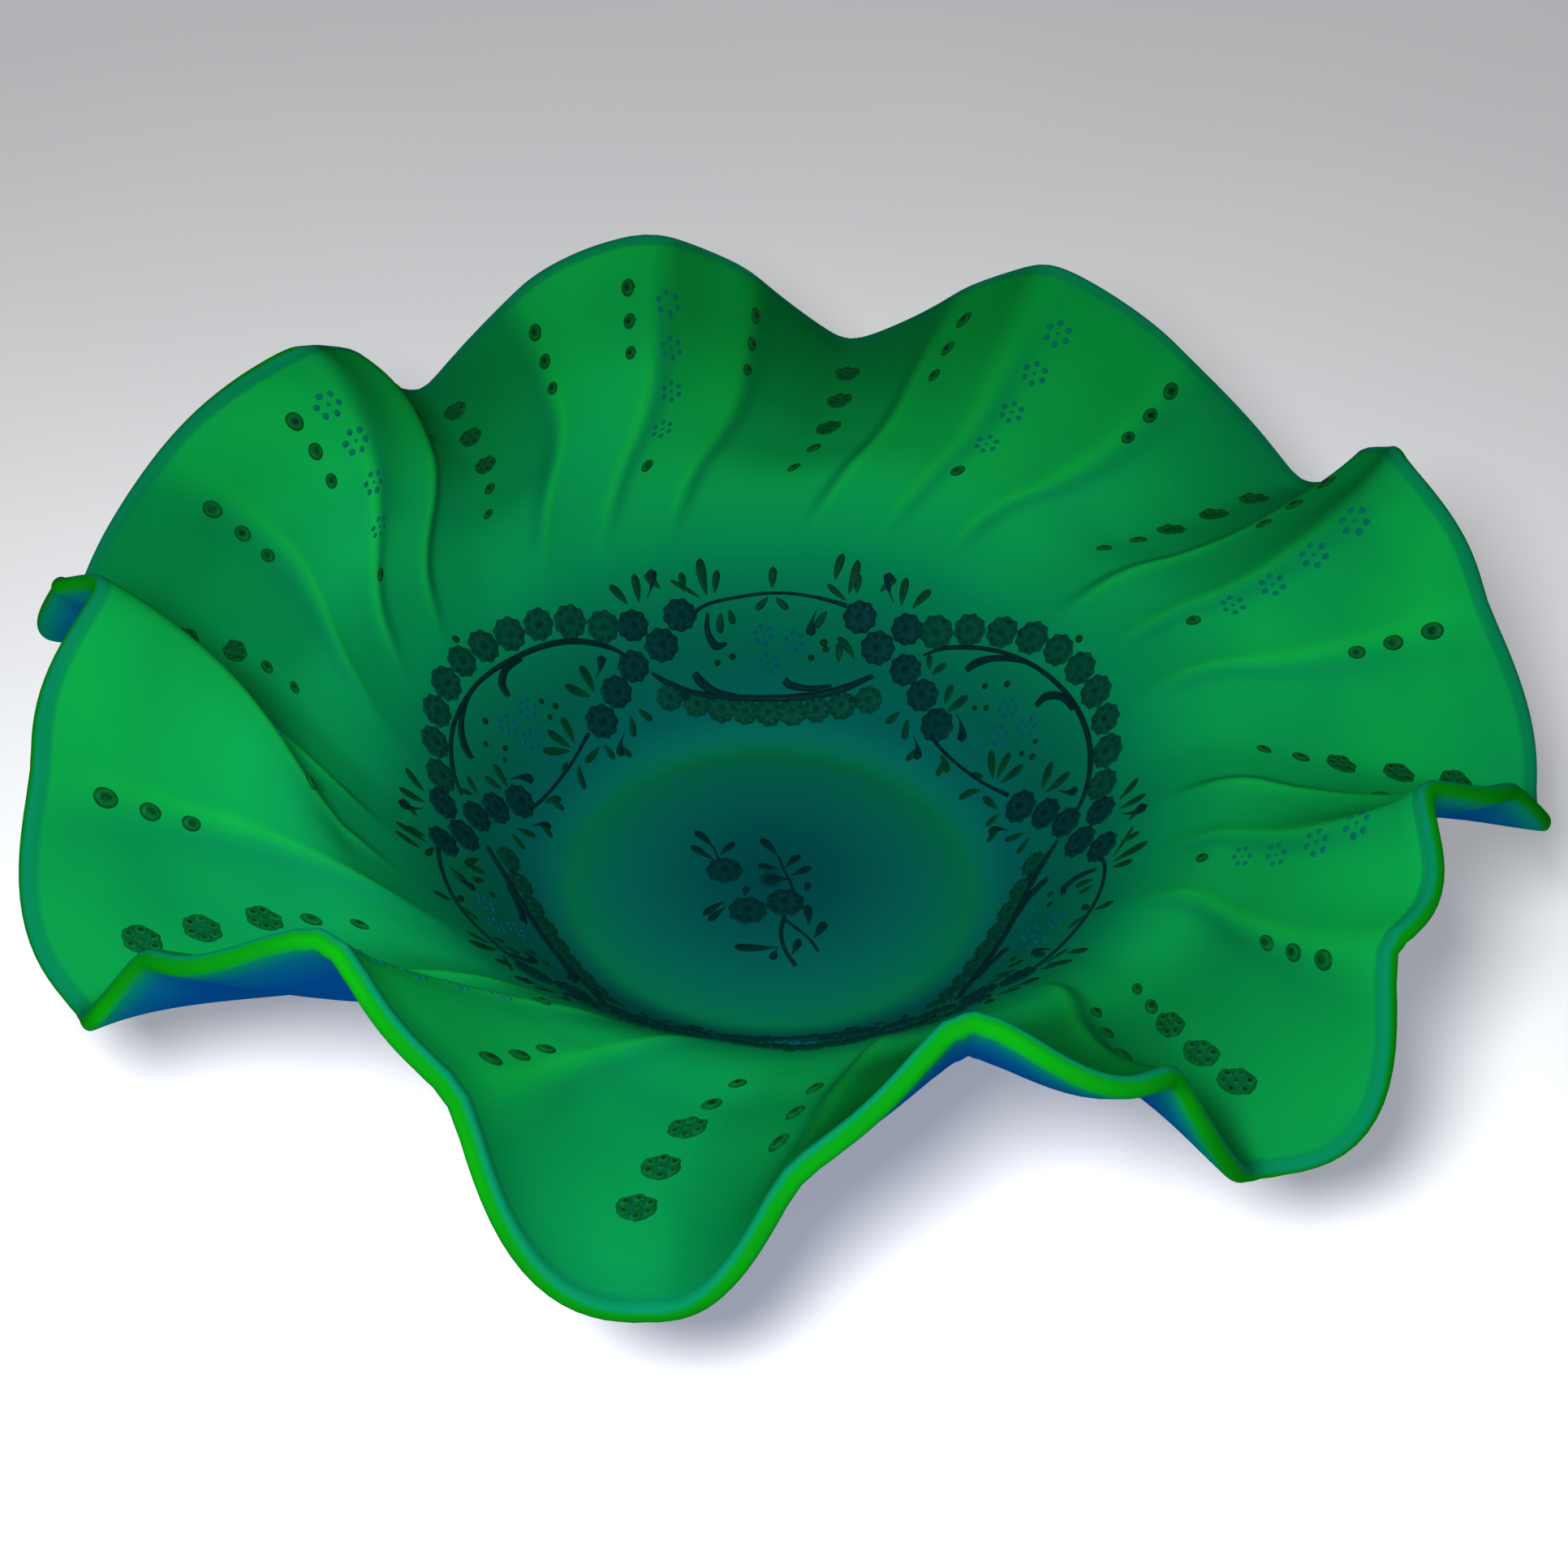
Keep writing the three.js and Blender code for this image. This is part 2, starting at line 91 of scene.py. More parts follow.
# The same for the minor ribs after and before each trough: radius, height, angle, how far the
# glass swells out from the rib to the crest and from the rib to the trough, and the bow.
RIB_AFTER = np.array([
    (0.5, 0, 0, 4, 3.5, 0), (1, 1, 0, 4, 3.5, -1.5), (1.5, 0.5, 1, 4, 3.5, 0),
    (-2.5, 0.5, -1, 4, 3.5, -4), (-1.5, 3, -0.5, 5, 3.5, 0), (1.5, 2.5, -1, 6, 3.5, 0),
    (0, -1, -1.7, 2.5, 3.5, 0), (-6, 0, -0.5, 8, 10, 0),
])
RIB_BEFORE = np.array([
    (0.5, -1.5, 0, 4, 3.5, 0), (1, 2, 0.5, 4, 3.5, 0), (0, 1.5, 2, 4, 3.5, 2), (3, 0, 3, 9.5, 3.5, 0),
    (1, 0, 1, 4.5, 3.5, -2), (0, 1, 0, 5, 5, 0), (-3, 2, 1.5, 2.5, 6.5, 0), (-3.5, 5, 1, 9, 3.5, 0),
])

# How the hand-drawn shape grows towards the rim, how the glass climbs from a trough to a rib,
# and which way it swells out beside a rib: outwards, and down.
DRAWN_EASE = 1.5
RIB_EASE = 1.3
CREST_BELLY = np.array([1, -0.25])
TROUGH_BELLY = np.array([1, -0.3])
# Share of the profile's first slope with which the wall leaves the flat well.
WELL_EDGE_EASE = 0.25

# ---- enamel ornament --------------------------------------------------------------------------
CARTOUCHES = 6
CARTOUCHE_PITCH = 360 / CARTOUCHES
FIRST_CARTOUCHE = 32.35
# How far the edges of the enamel sit in the glass.
SUNK = 0.04
BLOSSOM_SUNK = 0.03

# ---- colours (linear) shared by several materials ---------------------------------------------
RIM_TEAL = (0.001, 0.105, 0.044)
BEAD_GREEN = (0.001, 0.115, 0.003)
CASING_BLUE = (0.0001, 0.03, 0.115)


# ---- shape of the inside surface --------------------------------------------------------------

def smooth(value):
    """Smooth step from 0 to 1 while the value goes from 0 to 1."""
    s = np.clip(value, 0, 1)
    return s * s * (3 - 2 * s)


def bell(value, centre, width):
    return np.exp(-(((value - centre) / width) ** 2))


def hermite(s, start, start_slope, end, end_slope):
    """Smooth curve between two points as s goes from 0 to 1."""
    return (
        (2 * s**3 - 3 * s**2 + 1) * start
        + (s**3 - 2 * s**2 + s) * start_slope
        + (3 * s**2 - 2 * s**3) * end
        + (s**3 - s**2) * end_slope
    )


def along_profile(points, level):
    """Smooth curve through a profile's points: radius and height at each level."""
    i = np.clip(np.searchsorted(LEVELS, level, side="right") - 1, 0, len(LEVELS) - 2)
    slopes = np.empty_like(points)
    slopes[1:-1] = (points[2:] - points[:-2]) / (LEVELS[2:] - LEVELS[:-2])[:, None]
    slopes[0] = (points[1] - points[0]) / (LEVELS[1] - LEVELS[0])
    slopes[-1] = (points[-1] - points[-2]) / (LEVELS[-1] - LEVELS[-2])
    slopes[0, 1] *= WELL_EDGE_EASE
    step = (LEVELS[i + 1] - LEVELS[i])[..., None]
    s = (level - LEVELS[i])[..., None] / step
    return hermite(s, points[i], step * slopes[i], points[i + 1], step * slopes[i + 1])


def eased_to_crest(to_crest):
    """The way from rib to crest, levelled off on the crest itself."""
    away = 1 - to_crest
    overshoot = np.sqrt(1 + CREST_SOFTNESS**2) - 1
    return 1 - np.sqrt(away**2 + CREST_SOFTNESS**2) + overshoot * away**2


def sharp_pleat(angle, level):
    """Radius, height and swing of the sharp-edged pleats, and the way from rib to crest."""
    turns = (angle - FIRST_TROUGH) / PITCH
    trough = np.round(turns).astype(int)
    away = (turns - trough) * PITCH
    after = away >= 0
    to_rib = np.clip(np.abs(away) / RIB_OFFSET, 0, 1)[..., None]
    to_crest = eased_to_crest(np.clip((np.abs(away) - RIB_OFFSET) / RIB_OFFSET, 0, 1)[..., None])
    flare = np.clip((level - RUFFLE_START) / (1 - RUFFLE_START), 0, 1)[..., None]
    drawn = flare**DRAWN_EASE
    halfway = np.sin(np.pi * flare)
    t_draw = TROUGH_DRAW[trough % RUFFLES]
    c_draw = CREST_DRAW[np.where(after, trough + 1, trough) % RUFFLES]
    r_draw = np.where(after[..., None], RIB_AFTER[trough % RUFFLES], RIB_BEFORE[trough % RUFFLES])
    arch = halfway * c_draw[..., 3:4] * np.array([-1, 1])
    t = along_profile(TROUGH, level) + drawn * t_draw[..., :2]
    c = along_profile(CREST, level) + drawn * c_draw[..., :2] + arch
    r = along_profile(MINOR_RIB, level) + drawn * r_draw[..., :2]
    crest_belly = np.sin(np.pi * to_crest) * r_draw[..., 3:4] * CREST_BELLY
    trough_belly = np.sin(np.pi * to_rib) * r_draw[..., 4:5] * TROUGH_BELLY
    shape = t + (r - t) * to_rib**RIB_EASE + (c - r) * to_crest + flare * (crest_belly + trough_belly)
    t_swing, c_swing, r_swing = t_draw[..., 2:3], c_draw[..., 2:3], r_draw[..., 2:3]
    swing = drawn * (t_swing + (r_swing - t_swing) * to_rib + (c_swing - r_swing) * to_crest)
    c_bow, r_bow = c_draw[..., 4:5], r_draw[..., 5:6]
    bow = halfway * (r_bow * to_rib + (c_bow - r_bow) * to_crest)
    return np.concatenate([shape, swing + bow, to_crest], -1)


def swirl_at(angle, level):
    """How far the pleats lag behind the rim: they turn gently, then more sharply at their foot."""
    gentle = SWIRL * (1 - smooth((level - SWIRL_START) / (1 - SWIRL_START)))
    strength = FOOT_SWIRL + FOOT_SWIRL_UNEVEN * np.cos(np.radians(angle - FOOT_SWIRL_PEAK))
    return gentle + strength * np.clip((FOOT_SWIRL_TOP - level) / FOOT_SWIRL_REACH, 0, 1) ** 2


def off_trough(turns):
    """Distance from the nearest trough, in ruffles."""
    return np.abs((turns + 0.5) % 1 - 0.5)


def panel(turns):
    """0 inside a trough, 1 beyond the ribs on both sides of it."""
    return smooth((off_trough(turns) - TROUGH_HALF_WIDTH) / TROUGH_EDGE)


def crease(angle, level):
    """How far the folds stand up, and the troughs lie back, on the inside of the bowl.

    Both begin above the round wall and fade out towards the rim.
    """
    turns = (angle - FIRST_TROUGH) / PITCH
    lines = 0
    for place, strength in FOLDS:
        away = (turns - place + 0.5) % 1 - 0.5
        lines = lines + strength * np.exp(-np.abs(away / FOLD_WIDTH) ** 1.5)
    fade = smooth((level - 0.36) / 0.1) * np.clip((1.02 - level) / 0.45, 0, 1)
    return FOLD_HEIGHT * (fade * (lines - TROUGH_DIP * (1 - panel(turns))))


def inside(angle, level):
    """Points of the inside surface: the pleats with their edges rounded."""
    angle, level = np.broadcast_arrays(np.asarray(angle, float), np.asarray(level, float))
    step = RIB_ROUNDING + CREST_ROUNDING * sharp_pleat(angle, level)[..., 3]
    soft = sum(
        weight / 16 * sharp_pleat(angle + offset * step, level)
        for offset, weight in ROUNDING_SAMPLES
    )
    turned = np.radians(angle + soft[..., 2] + swirl_at(angle, level))
    fold = crease(angle, level)
    radius = soft[..., 0] - fold
    return np.stack([radius * np.cos(turned), radius * np.sin(turned), soft[..., 1] + fold], -1)


def unit(vectors):
    return vectors / np.linalg.norm(vectors, axis=-1, keepdims=True)


def outward(angle, level):
    """Direction from the inside surface towards the outside of the bowl."""
    level = np.asarray(level, float)
    low = np.maximum(0, level - 0.01)
    high = np.minimum(1, level + 0.01)
    up = inside(angle, high) - inside(angle, low)
    around = inside(angle + 1, level) - inside(angle - 1, level)
    return unit(np.cross(around, up))


def pleat_point(angle, level, raised):
    """Points above the inside surface, by rim angle and level."""
    return inside(angle, level) - outward(angle, level) * np.asarray(raised)[..., None]


WALL_LEVELS = np.linspace(0, RUFFLE_START, 200)
WALL_RADII = along_profile(TROUGH, WALL_LEVELS)[:, 0]


def wall_point(angle, radius, raised):
    """Points above the well or the round wall, by true angle and radius."""
    angle, radius, raised = np.broadcast_arrays(*(np.asarray(v, float) for v in (angle, radius, raised)))
    level = np.interp(radius, WALL_RADII, WALL_LEVELS)
    rim_angle = angle
    for _ in range(4):
        rim_angle = angle - swirl_at(rim_angle, level)
    on_wall = pleat_point(rim_angle, level, raised)
    a = np.radians(angle)
    in_well = np.stack([radius * np.cos(a), radius * np.sin(a), WELL_HEIGHT + raised], -1)
    return np.where((radius < WELL_RADIUS)[..., None], in_well, on_wall)


# ---- meshes -----------------------------------------------------------------------------------

def make_object(name, points, faces, material, attributes):
    """Smooth-shaded mesh object from points in millimetres, with a value per point by name."""
    mesh = bpy.data.meshes.new(name)
    mesh.from_pydata((np.asarray(points) * MM).tolist(), [], faces)
    mesh.shade_smooth()
    mesh.set_sharp_from_angle(angle=math.radians(SHARPEST_SMOOTH_EDGE))
    for key, values in attributes.items():
        layer = mesh.attributes.new(key, "FLOAT", "POINT")
        layer.data.foreach_set("value", np.asarray(values, dtype=np.float32))
    mesh.materials.append(material)
    made = bpy.data.objects.new(name, mesh)
    bpy.context.scene.collection.objects.link(made)
    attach(made, "root")
    return made


def ring_faces(rings, size, closed):
    """Quads that join rings of equal size; closed joins the last ring to the first."""
    faces = []
    for r in range(rings if closed else rings - 1):
        a = r * size
        b = (r + 1) % rings * size
        for i in range(size):
            k = (i + 1) % size
            faces.append((a + i, a + k, b + k, b + i))
    return faces


def solid_of_rings(name, rings, poles, material, attributes):
    """Closed body of revolution-like rings that ends in two pole points."""
    count, size = rings.shape[:2]
    points = np.concatenate([rings.reshape(-1, 3), np.array(poles, float)])
    faces = ring_faces(count, size, False)
    first = count * size
    end = (count - 1) * size
    for i in range(size):
        k = (i + 1) % size
        faces.append((first, k, i))
        faces.append((first + 1, end + i, end + k))
    return make_object(name, points, faces, material, attributes)


COLUMNS = 576
ANGLES = FIRST_TROUGH + np.arange(COLUMNS) * 360 / COLUMNS
ROWS = np.concatenate([np.linspace(0, RUFFLE_START, 36), np.linspace(RUFFLE_START, 1, 54)[1:]])
# The outside leaves the inside's shape at this row and runs down to the foot.
LOWEST_OUTER_ROW = 10


def surface_rings(depth, rows=ROWS):
    return np.array([inside(ANGLES, t) + depth * outward(ANGLES, t) for t in rows])


def flat_rings(pairs):
    """Level circles by radius and height, turned like the foot of the pleats."""
    a = np.radians(ANGLES + swirl_at(ANGLES, 0))
    return np.array([
        np.stack([r * np.cos(a), r * np.sin(a), np.full_like(a, z)], -1) for r, z in pairs
    ])


def on_ruffles(levels):
    """0 on the round wall, 1 on the ruffles."""
    return smooth((levels - 0.42) / 0.14)


def pleat_tints(angles, levels):
    """How strongly each point takes a painted highlight on a fold's edge, painted shade beside a fold, and
    painted shade in a trough.
    """
    turns = (angles - FIRST_TROUGH) / PITCH
    past_crest = turns % 1 - 0.5
    fade = smooth((levels - 0.37) / 0.07) * np.clip((1.0 - levels) / 0.35, 0, 1)
    painted_glow = bell(off_trough(turns), 0.262, 0.014) + bell(past_crest, 0.012, 0.016)
    shade = bell(off_trough(turns), 0.222, 0.022) + bell(past_crest, -0.034, 0.022)
    return painted_glow * fade, shade * fade, (1 - panel(turns)) * on_ruffles(levels)


# Painted light and shade on the four faces of each ruffle, from one trough to the next.
FACE_SHADING = np.array([
    (1.1, 1.1, 0.95, 1.3), (1.2, 0.9, 0.8, 0.95), (0.8, 0.9, 1.3, 1.0), (1.1, 1.2, 1.3, 1.0),
    (0.85, 1.1, 1.15, 1.05), (1.2, 1.1, 1.0, 0.95), (0.75, 0.35, 0.45, 0.75), (0.7, 0.9, 1.0, 1.25),
]).ravel()
# Painted light and shade near the rim of each ruffle: how much brighter or fainter it is there.
UPPER_SHADING = [-0.2, -0.2, -0.28, -0.26, -0.28, 0, 0.05, 0.2]


def face_shading(angles, levels):
    """Painted light and shade against the even tone: by face, and by ruffle near the rim."""
    place = (angles - FIRST_TROUGH) / PITCH * 4
    edge = np.round(place).astype(int)
    before = FACE_SHADING[(edge - 1) % len(FACE_SHADING)]
    after = FACE_SHADING[edge % len(FACE_SHADING)]
    face = before + (after - before) * smooth((place - edge) / 0.5 + 0.5)
    crests = FIRST_TROUGH + (np.arange(RUFFLES) + 0.5) * PITCH
    upper = np.interp(angles, crests, UPPER_SHADING, period=360)
    return (1 + on_ruffles(levels) * (face - 1)) * (1 + smooth((levels - 0.6) / 0.25) * upper)


def build_lining(material):
    inner = surface_rings(0)
    outer = surface_rings(LINING_THICKNESS)[::-1]
    well = flat_rings([(r, WELL_HEIGHT) for r in np.linspace(3, WELL_RADIUS - 2, 14)])
    rings = np.concatenate([well, inner, outer])
    levels = np.concatenate([np.zeros(len(well)), ROWS, ROWS[::-1]])[:, None]
    # Painted highlight and shade of the folds and troughs, then the painted light and shade of each face.
    tints = (*pleat_tints(ANGLES[None, :], levels), face_shading(ANGLES[None, :], levels))
    level = np.broadcast_to(levels, tints[0].shape)
    attributes = {
        key: np.append(values, (0, 0))
        for key, values in zip(("level", "painted_glow", "shade", "trough", "tone"), (level, *tints))
    }
    poles = [(0, 0, WELL_HEIGHT), (0, 0, WELL_HEIGHT - LINING_THICKNESS)]
    return solid_of_rings("lining_glass", rings, poles, material, attributes)


def build_casing(material):
    depth = LINING_THICKNESS + LAYER_GAP
    inner = surface_rings(depth)
    outer_rows = ROWS[LOWEST_OUTER_ROW:]
    outer = surface_rings(GLASS_THICKNESS, outer_rows)[::-1]
    foot = flat_rings([
        (FOOT_RADIUS + 5.4, 7.4), (FOOT_RADIUS + 3, 5.6), (FOOT_RADIUS + 1.2, 4), (FOOT_RADIUS + 0.3, 2.7),
        (FOOT_RADIUS, 1.4), (FOOT_RADIUS - 0.5, 0.7), (BASE_RADIUS + 1.6, 0.25), (BASE_RADIUS, 0),
        (BASE_RADIUS - 0.2, 0), (25, 0), (10, 0),
    ])
    rings = np.concatenate([inner, outer, foot])
    levels = np.concatenate([ROWS, outer_rows[::-1], np.zeros(len(foot))])
    attributes = {"level": np.append(np.repeat(levels, COLUMNS), (0, 0))}
    poles = [(0, 0, WELL_HEIGHT - depth), (0, 0, 0)]
    return solid_of_rings("casing_glass", rings, poles, material, attributes)


def build_rim(material):
    """Fire-polished bead round the edge of both layers, a little fuller than half an ellipse."""
    fullness = 0.8
    t = np.linspace(0, np.pi, 13)
    depths = GLASS_THICKNESS / 2 * (1 - np.cos(t))
    beyond = BEAD_HEIGHT * np.sin(t) ** fullness
    edge = inside(ANGLES, 1.0)
    out = outward(ANGLES, 1.0)
    along = inside(ANGLES + 1, 1.0) - inside(ANGLES - 1, 1.0)
    past = unit(np.cross(out, along))
    rings = np.array([edge + d * out + b * past for d, b in zip(depths, beyond)])
    faces = ring_faces(len(rings), COLUMNS, True)
    depth = np.repeat(depths / GLASS_THICKNESS, COLUMNS)
    return make_object("rim_bead_glass", rings.reshape(-1, 3), faces, material, {"depth": depth})


# ---- raised enamel ----------------------------------------------------------------------------

class Enamel:
    """Collects raised shapes on the glass that become one mesh."""

    def __init__(self):
        self.points = []
        self.faces = []
        self.tones = []
        self.count = 0

    def add(self, points, faces, tones):
        self.points.append(points)
        self.tones.append(tones)
        self.faces += [tuple(v + self.count for v in face) for face in faces]
        self.count += len(points)

    def build(self, name, material):
        points = np.concatenate(self.points)
        tones = np.concatenate(self.tones)
        return make_object(name, points, self.faces, material, {"tone": tones})


def wall_spot(angle, radius):
    """Chart round a point of the well or wall: at(right, up, raised) in millimetres."""
    ahead = wall_point(angle, radius + 0.5, 0)
    behind = wall_point(angle, radius - 0.5, 0)
    slope = max(1.0, float(np.linalg.norm(ahead - behind)))

    def at(a, b, h):
        return wall_point(angle + np.degrees(a / max(radius, 8)), radius + b / slope, h)
    return at


def well_spot(x, y):
    """Chart round a point of the flat well."""
    def at(a, b, h):
        a, b, h = np.broadcast_arrays(a, b, h)
        return np.stack([x + a, y + b, WELL_HEIGHT + h], -1)
    return at


def pleat_spot(turns, level):
    """Chart round a point of the ruffles, by how many ruffles round it is and by its level."""
    angle = FIRST_TROUGH + turns * PITCH
    per_degree = float(np.linalg.norm(inside(angle + 0.5, level) - inside(angle - 0.5, level)))
    per_level = float(np.linalg.norm(inside(angle, level + 0.005) - inside(angle, level - 0.005))) * 100

    def at(a, b, h):
        return pleat_point(angle + a / per_degree, level + b / per_level, h)
    return at


def shifted(at, x, y, lift=0.0):
    """Chart round another point of a chart."""
    return lambda a, b, h: at(x + a, y + b, h + lift)


def disc_grid(sides, rings):
    """Share of the radius and angle of each point of a disc, ring by ring from the centre."""
    r = np.linspace(0, 1, rings + 1)[1:, None]
    a = np.linspace(0, 2 * np.pi, sides, endpoint=False)[None, :]
    return np.broadcast_arrays(r, a)


def add_disc(enamel, at, x, y, h, tones, top):
    """Adds a disc from its rings of points and closes it at its centre."""
    rings, sides = x.shape
    points = at(np.append(x, 0), np.append(y, 0), np.append(h, top))
    centre = rings * sides
    faces = ring_faces(rings, sides, False)
    faces += [(centre, i, (i + 1) % sides) for i in range(sides)]
    enamel.add(points, faces, np.append(tones, 1.0))


def dome(enamel, at, radius, relief, stretch=1.0, ringed=False):
    """Small round drop; a ringed one has a dark eye, a pale ring and a dark edge."""
    r, a = disc_grid(18, 9) if ringed else disc_grid(12, 4)
    x = radius * r * np.cos(a)
    y = radius * stretch * r * np.sin(a)
    h = relief * np.sqrt(1 - r**2) - SUNK
    add_disc(enamel, at, x, y, h, ring_tones(r) if ringed else np.ones_like(r), relief)


def ring_tones(r):
    eye = np.exp(-((r / 0.42) ** 4))
    return np.clip(0.4 + 0.6 * eye + 0.35 * bell(r, 0.86, 0.12) - 0.4 * bell(r, 0.66, 0.1), 0, 1)


def blossom(enamel, at, radius, relief, petals, turn):
    """Flat round flower: a dark centre dot, a ring of stamens and a scalloped edge."""
    r, a = disc_grid(petals * 6, 12)
    a = a + turn
    wave = np.cos(petals * (a - turn))
    edge = 0.95 + 0.05 * wave
    x = radius * r * edge * np.cos(a)
    y = radius * r * edge * np.sin(a)
    heart = bell(r, 0, 0.2)
    stamens = bell(r, 0.42, 0.08) * (0.5 + 0.5 * np.cos(2 * petals * a))
    cleft = bell(r, 0.78, 0.16) * (0.5 - 0.5 * wave)
    body = 0.75 * np.clip((1 - r) / 0.2, 0, 1) ** 0.5
    h = relief * (body + 0.25 * heart + 0.15 * stamens - 0.2 * cleft) - BLOSSOM_SUNK
    tones = np.clip(0.45 + 0.6 * heart - 0.5 * stamens + 0.4 * cleft, 0, 1)
    add_disc(enamel, at, x, y, h, tones, relief)


def petal_stroke(enamel, at, heading, length, width, bend, head, relief):
    """One brush mark from a thin tail to a rounded tip; head says where it is widest."""
    stations, across = 12, 7
    s = np.linspace(0, 1, stations)[:, None]
    v = np.linspace(-1, 1, across)[None, :]
    rise = 1.1 * head / (1 - head)
    half = s**rise * (1 - s) ** 0.55
    half = width / 2 * (0.12 + 0.88 * half / half.max())
    half[-1] *= 0.5
    turn = np.radians(heading) + bend * s
    dx = np.cumsum(np.cos(turn), 0) * length / stations
    dy = np.cumsum(np.sin(turn), 0) * length / stations
    x = dx - np.sin(turn) * half * v
    y = dy + np.cos(turn) * half * v
    h = relief * np.sqrt(1 - v**2) * (0.4 + 0.6 * half / half.max()) - SUNK
    faces = strip_faces(stations, across)
    enamel.add(at(x.ravel(), y.ravel(), h.ravel()), faces, np.broadcast_to(s, x.shape).ravel() * 0.8)


def strip_faces(stations, across):
    return [
        (i * across + j, i * across + j + 1, (i + 1) * across + j + 1, (i + 1) * across + j)
        for i in range(stations - 1) for j in range(across - 1)
    ]


def smooth_path(points, count):
    """Even samples of a smooth curve through a few points."""
    p = np.array(points, float)
    u = np.linspace(0, len(p) - 1, count)
    i = np.clip(u.astype(int), 0, len(p) - 2)
    slopes = np.gradient(p, np.arange(len(p)), axis=0)
    return hermite((u - i)[:, None], p[i], slopes[i], p[i + 1], slopes[i + 1])


def brush_line(enamel, points, relief, count=60):
    """Raised brush line on the wall through [angle, radius, width] stations."""
    across = 7
    angle, radius, width = smooth_path(points, count).T
    step_a = np.gradient(angle) * np.radians(1) * radius
    spread = np.linalg.norm(wall_point(angle, radius + 0.5, 0) - wall_point(angle, radius - 0.5, 0), axis=-1)
    step_r = np.gradient(radius) * spread
    length = np.hypot(step_a, step_r)
    v = np.linspace(-1, 1, across)[None, :]
    half = (np.maximum(width, 0.1) / 2)[:, None]
    side_a = (-step_r / length)[:, None] * half * v
    side_r = (step_a / length)[:, None] * half * v
    a = angle[:, None] + np.degrees(side_a / radius[:, None])
    r = radius[:, None] + side_r / spread[:, None]
    h = relief * np.sqrt(1 - v**2) * np.minimum(1, half / 0.35) - SUNK
    points = wall_point(a.ravel(), r.ravel(), h.ravel())
    enamel.add(points, strip_faces(count, across), np.full(a.size, 0.6))


def dot_flower(enamel, at, radius, dot, stretch=1.0):
    """Six small drops in a ring round a smaller one."""
    for k in range(6):
        a = math.radians(60 * k + 15)
        dome(enamel, shifted(at, radius * math.cos(a), radius * math.sin(a)), dot, 0.3, stretch)
    dome(enamel, at, 0.6 * dot, 0.2, stretch)


# Marks of a cartouche as [angle from its middle, radius, ...].  Brush lines end in a width;
# leaves end in heading, length, width and bend.
OUTER_LINES = [
    [(27, 64, 0.6), (23, 66.5, 1.1), (15, 69.2, 1.1), (5, 70.4, 1.1), (-5, 70.4, 1.3), (-14, 69.2, 1.5),
     (-21, 67.2, 1.5), (-26, 64.8, 1.2), (-29, 62.6, 0.6)],
    [(17.2, 64.6, 1.5), (16, 66.4, 2.1), (13, 68.4, 1.6), (8, 69.9, 1.0), (4, 70.3, 0.5)],
    [(-0.6, 66.2, 1.5), (-1.2, 68.2, 2.1), (-4, 69.6, 1.7), (-8, 69.5, 0.8)],
    [(18, 53.6, 1.2), (14, 52.2, 0.9), (7.5, 51.5, 0.8), (0, 51.7, 0.8), (-6, 52.6, 0.8), (-12, 54.2, 1.1)],
]
OUTER_LEAVES = [
    (12, 51.2, -160, 5.4, 1.9, 0.3), (10, 51.0, -110, 4.4, 1.8, 0.2), (2, 51.4, 150, 4.2, 1.4, 0.2),
    (-5, 51.2, -40, 6.2, 2.0, -0.6), (-13, 51.6, -20, 6.0, 1.8, 0.3), (-14, 51.6, -100, 4.4, 1.8, 0.2),
    (-5.5, 53.6, 25, 7.6, 2.0, 0.35), (-6, 53.8, 62, 7.0, 2.0, 0.2), (-7, 53.8, 105, 7.0, 2.0, -0.2),
    (-17.5, 58.8, 45, 7.0, 2.2, 0.2), (-18.5, 59, 95, 7.4, 2.2, -0.2),
    (16.5, 57.2, 120, 6.4, 2.0, -0.2), (17.5, 58, 75, 5.2, 1.8, 0.2), (23.6, 61.4, 110, 4.4, 1.7, 0.3),
    (24.4, 62, 60, 3.8, 1.5, 0.2),
]
OUTER_COMMAS = [(14.5, 58.0, -160, 7.6, 2.5, 0.7), (-20, 61.2, 155, 6.0, 2.3, -0.8)]
OUTER_DOTS = [
    (11.7, 63.9, 0.75), (7.7, 66, 0.85), (10.9, 60.2, 0.65), (8.6, 61.2, 0.7), (-6.3, 62.4, 0.7),
    (-5.8, 59.7, 0.7), (-8.5, 60.6, 0.85),
]
OUTER_BLUE = [(4.2, 63.2), (-2.3, 63), (2, 59.2)]

INNER_LINES = [
    [(16, 65.8, 1.2), (13.5, 67.6, 0.9), (8, 68.7, 0.8), (0, 69.3, 0.8), (-8, 68.9, 0.8), (-15, 68.2, 1.2)],
    [(27, 59, 0.8), (24, 56.8, 1.5), (19, 54.4, 1.7), (12, 52.9, 1.7), (4, 52.3, 1.7), (-4, 52.4, 1.8),
     (-11, 53.3, 2.0), (-18, 55.3, 1.9), (-24, 58.4, 1.1)],
    [(17.4, 57.4, 1.8), (16, 55.6, 2.3), (13, 53.8, 1.8), (8, 52.9, 0.8)],
    [(-3.6, 55.4, 1.8), (-5.4, 54.6, 1.9), (-10, 54.4, 1.4), (-15, 55.4, 0.7)],
    [(12.4, 66.6, 0.7), (12.9, 63.6, 1.5), (11.6, 61.2, 2.0), (9.2, 61.4, 0.8)],
]
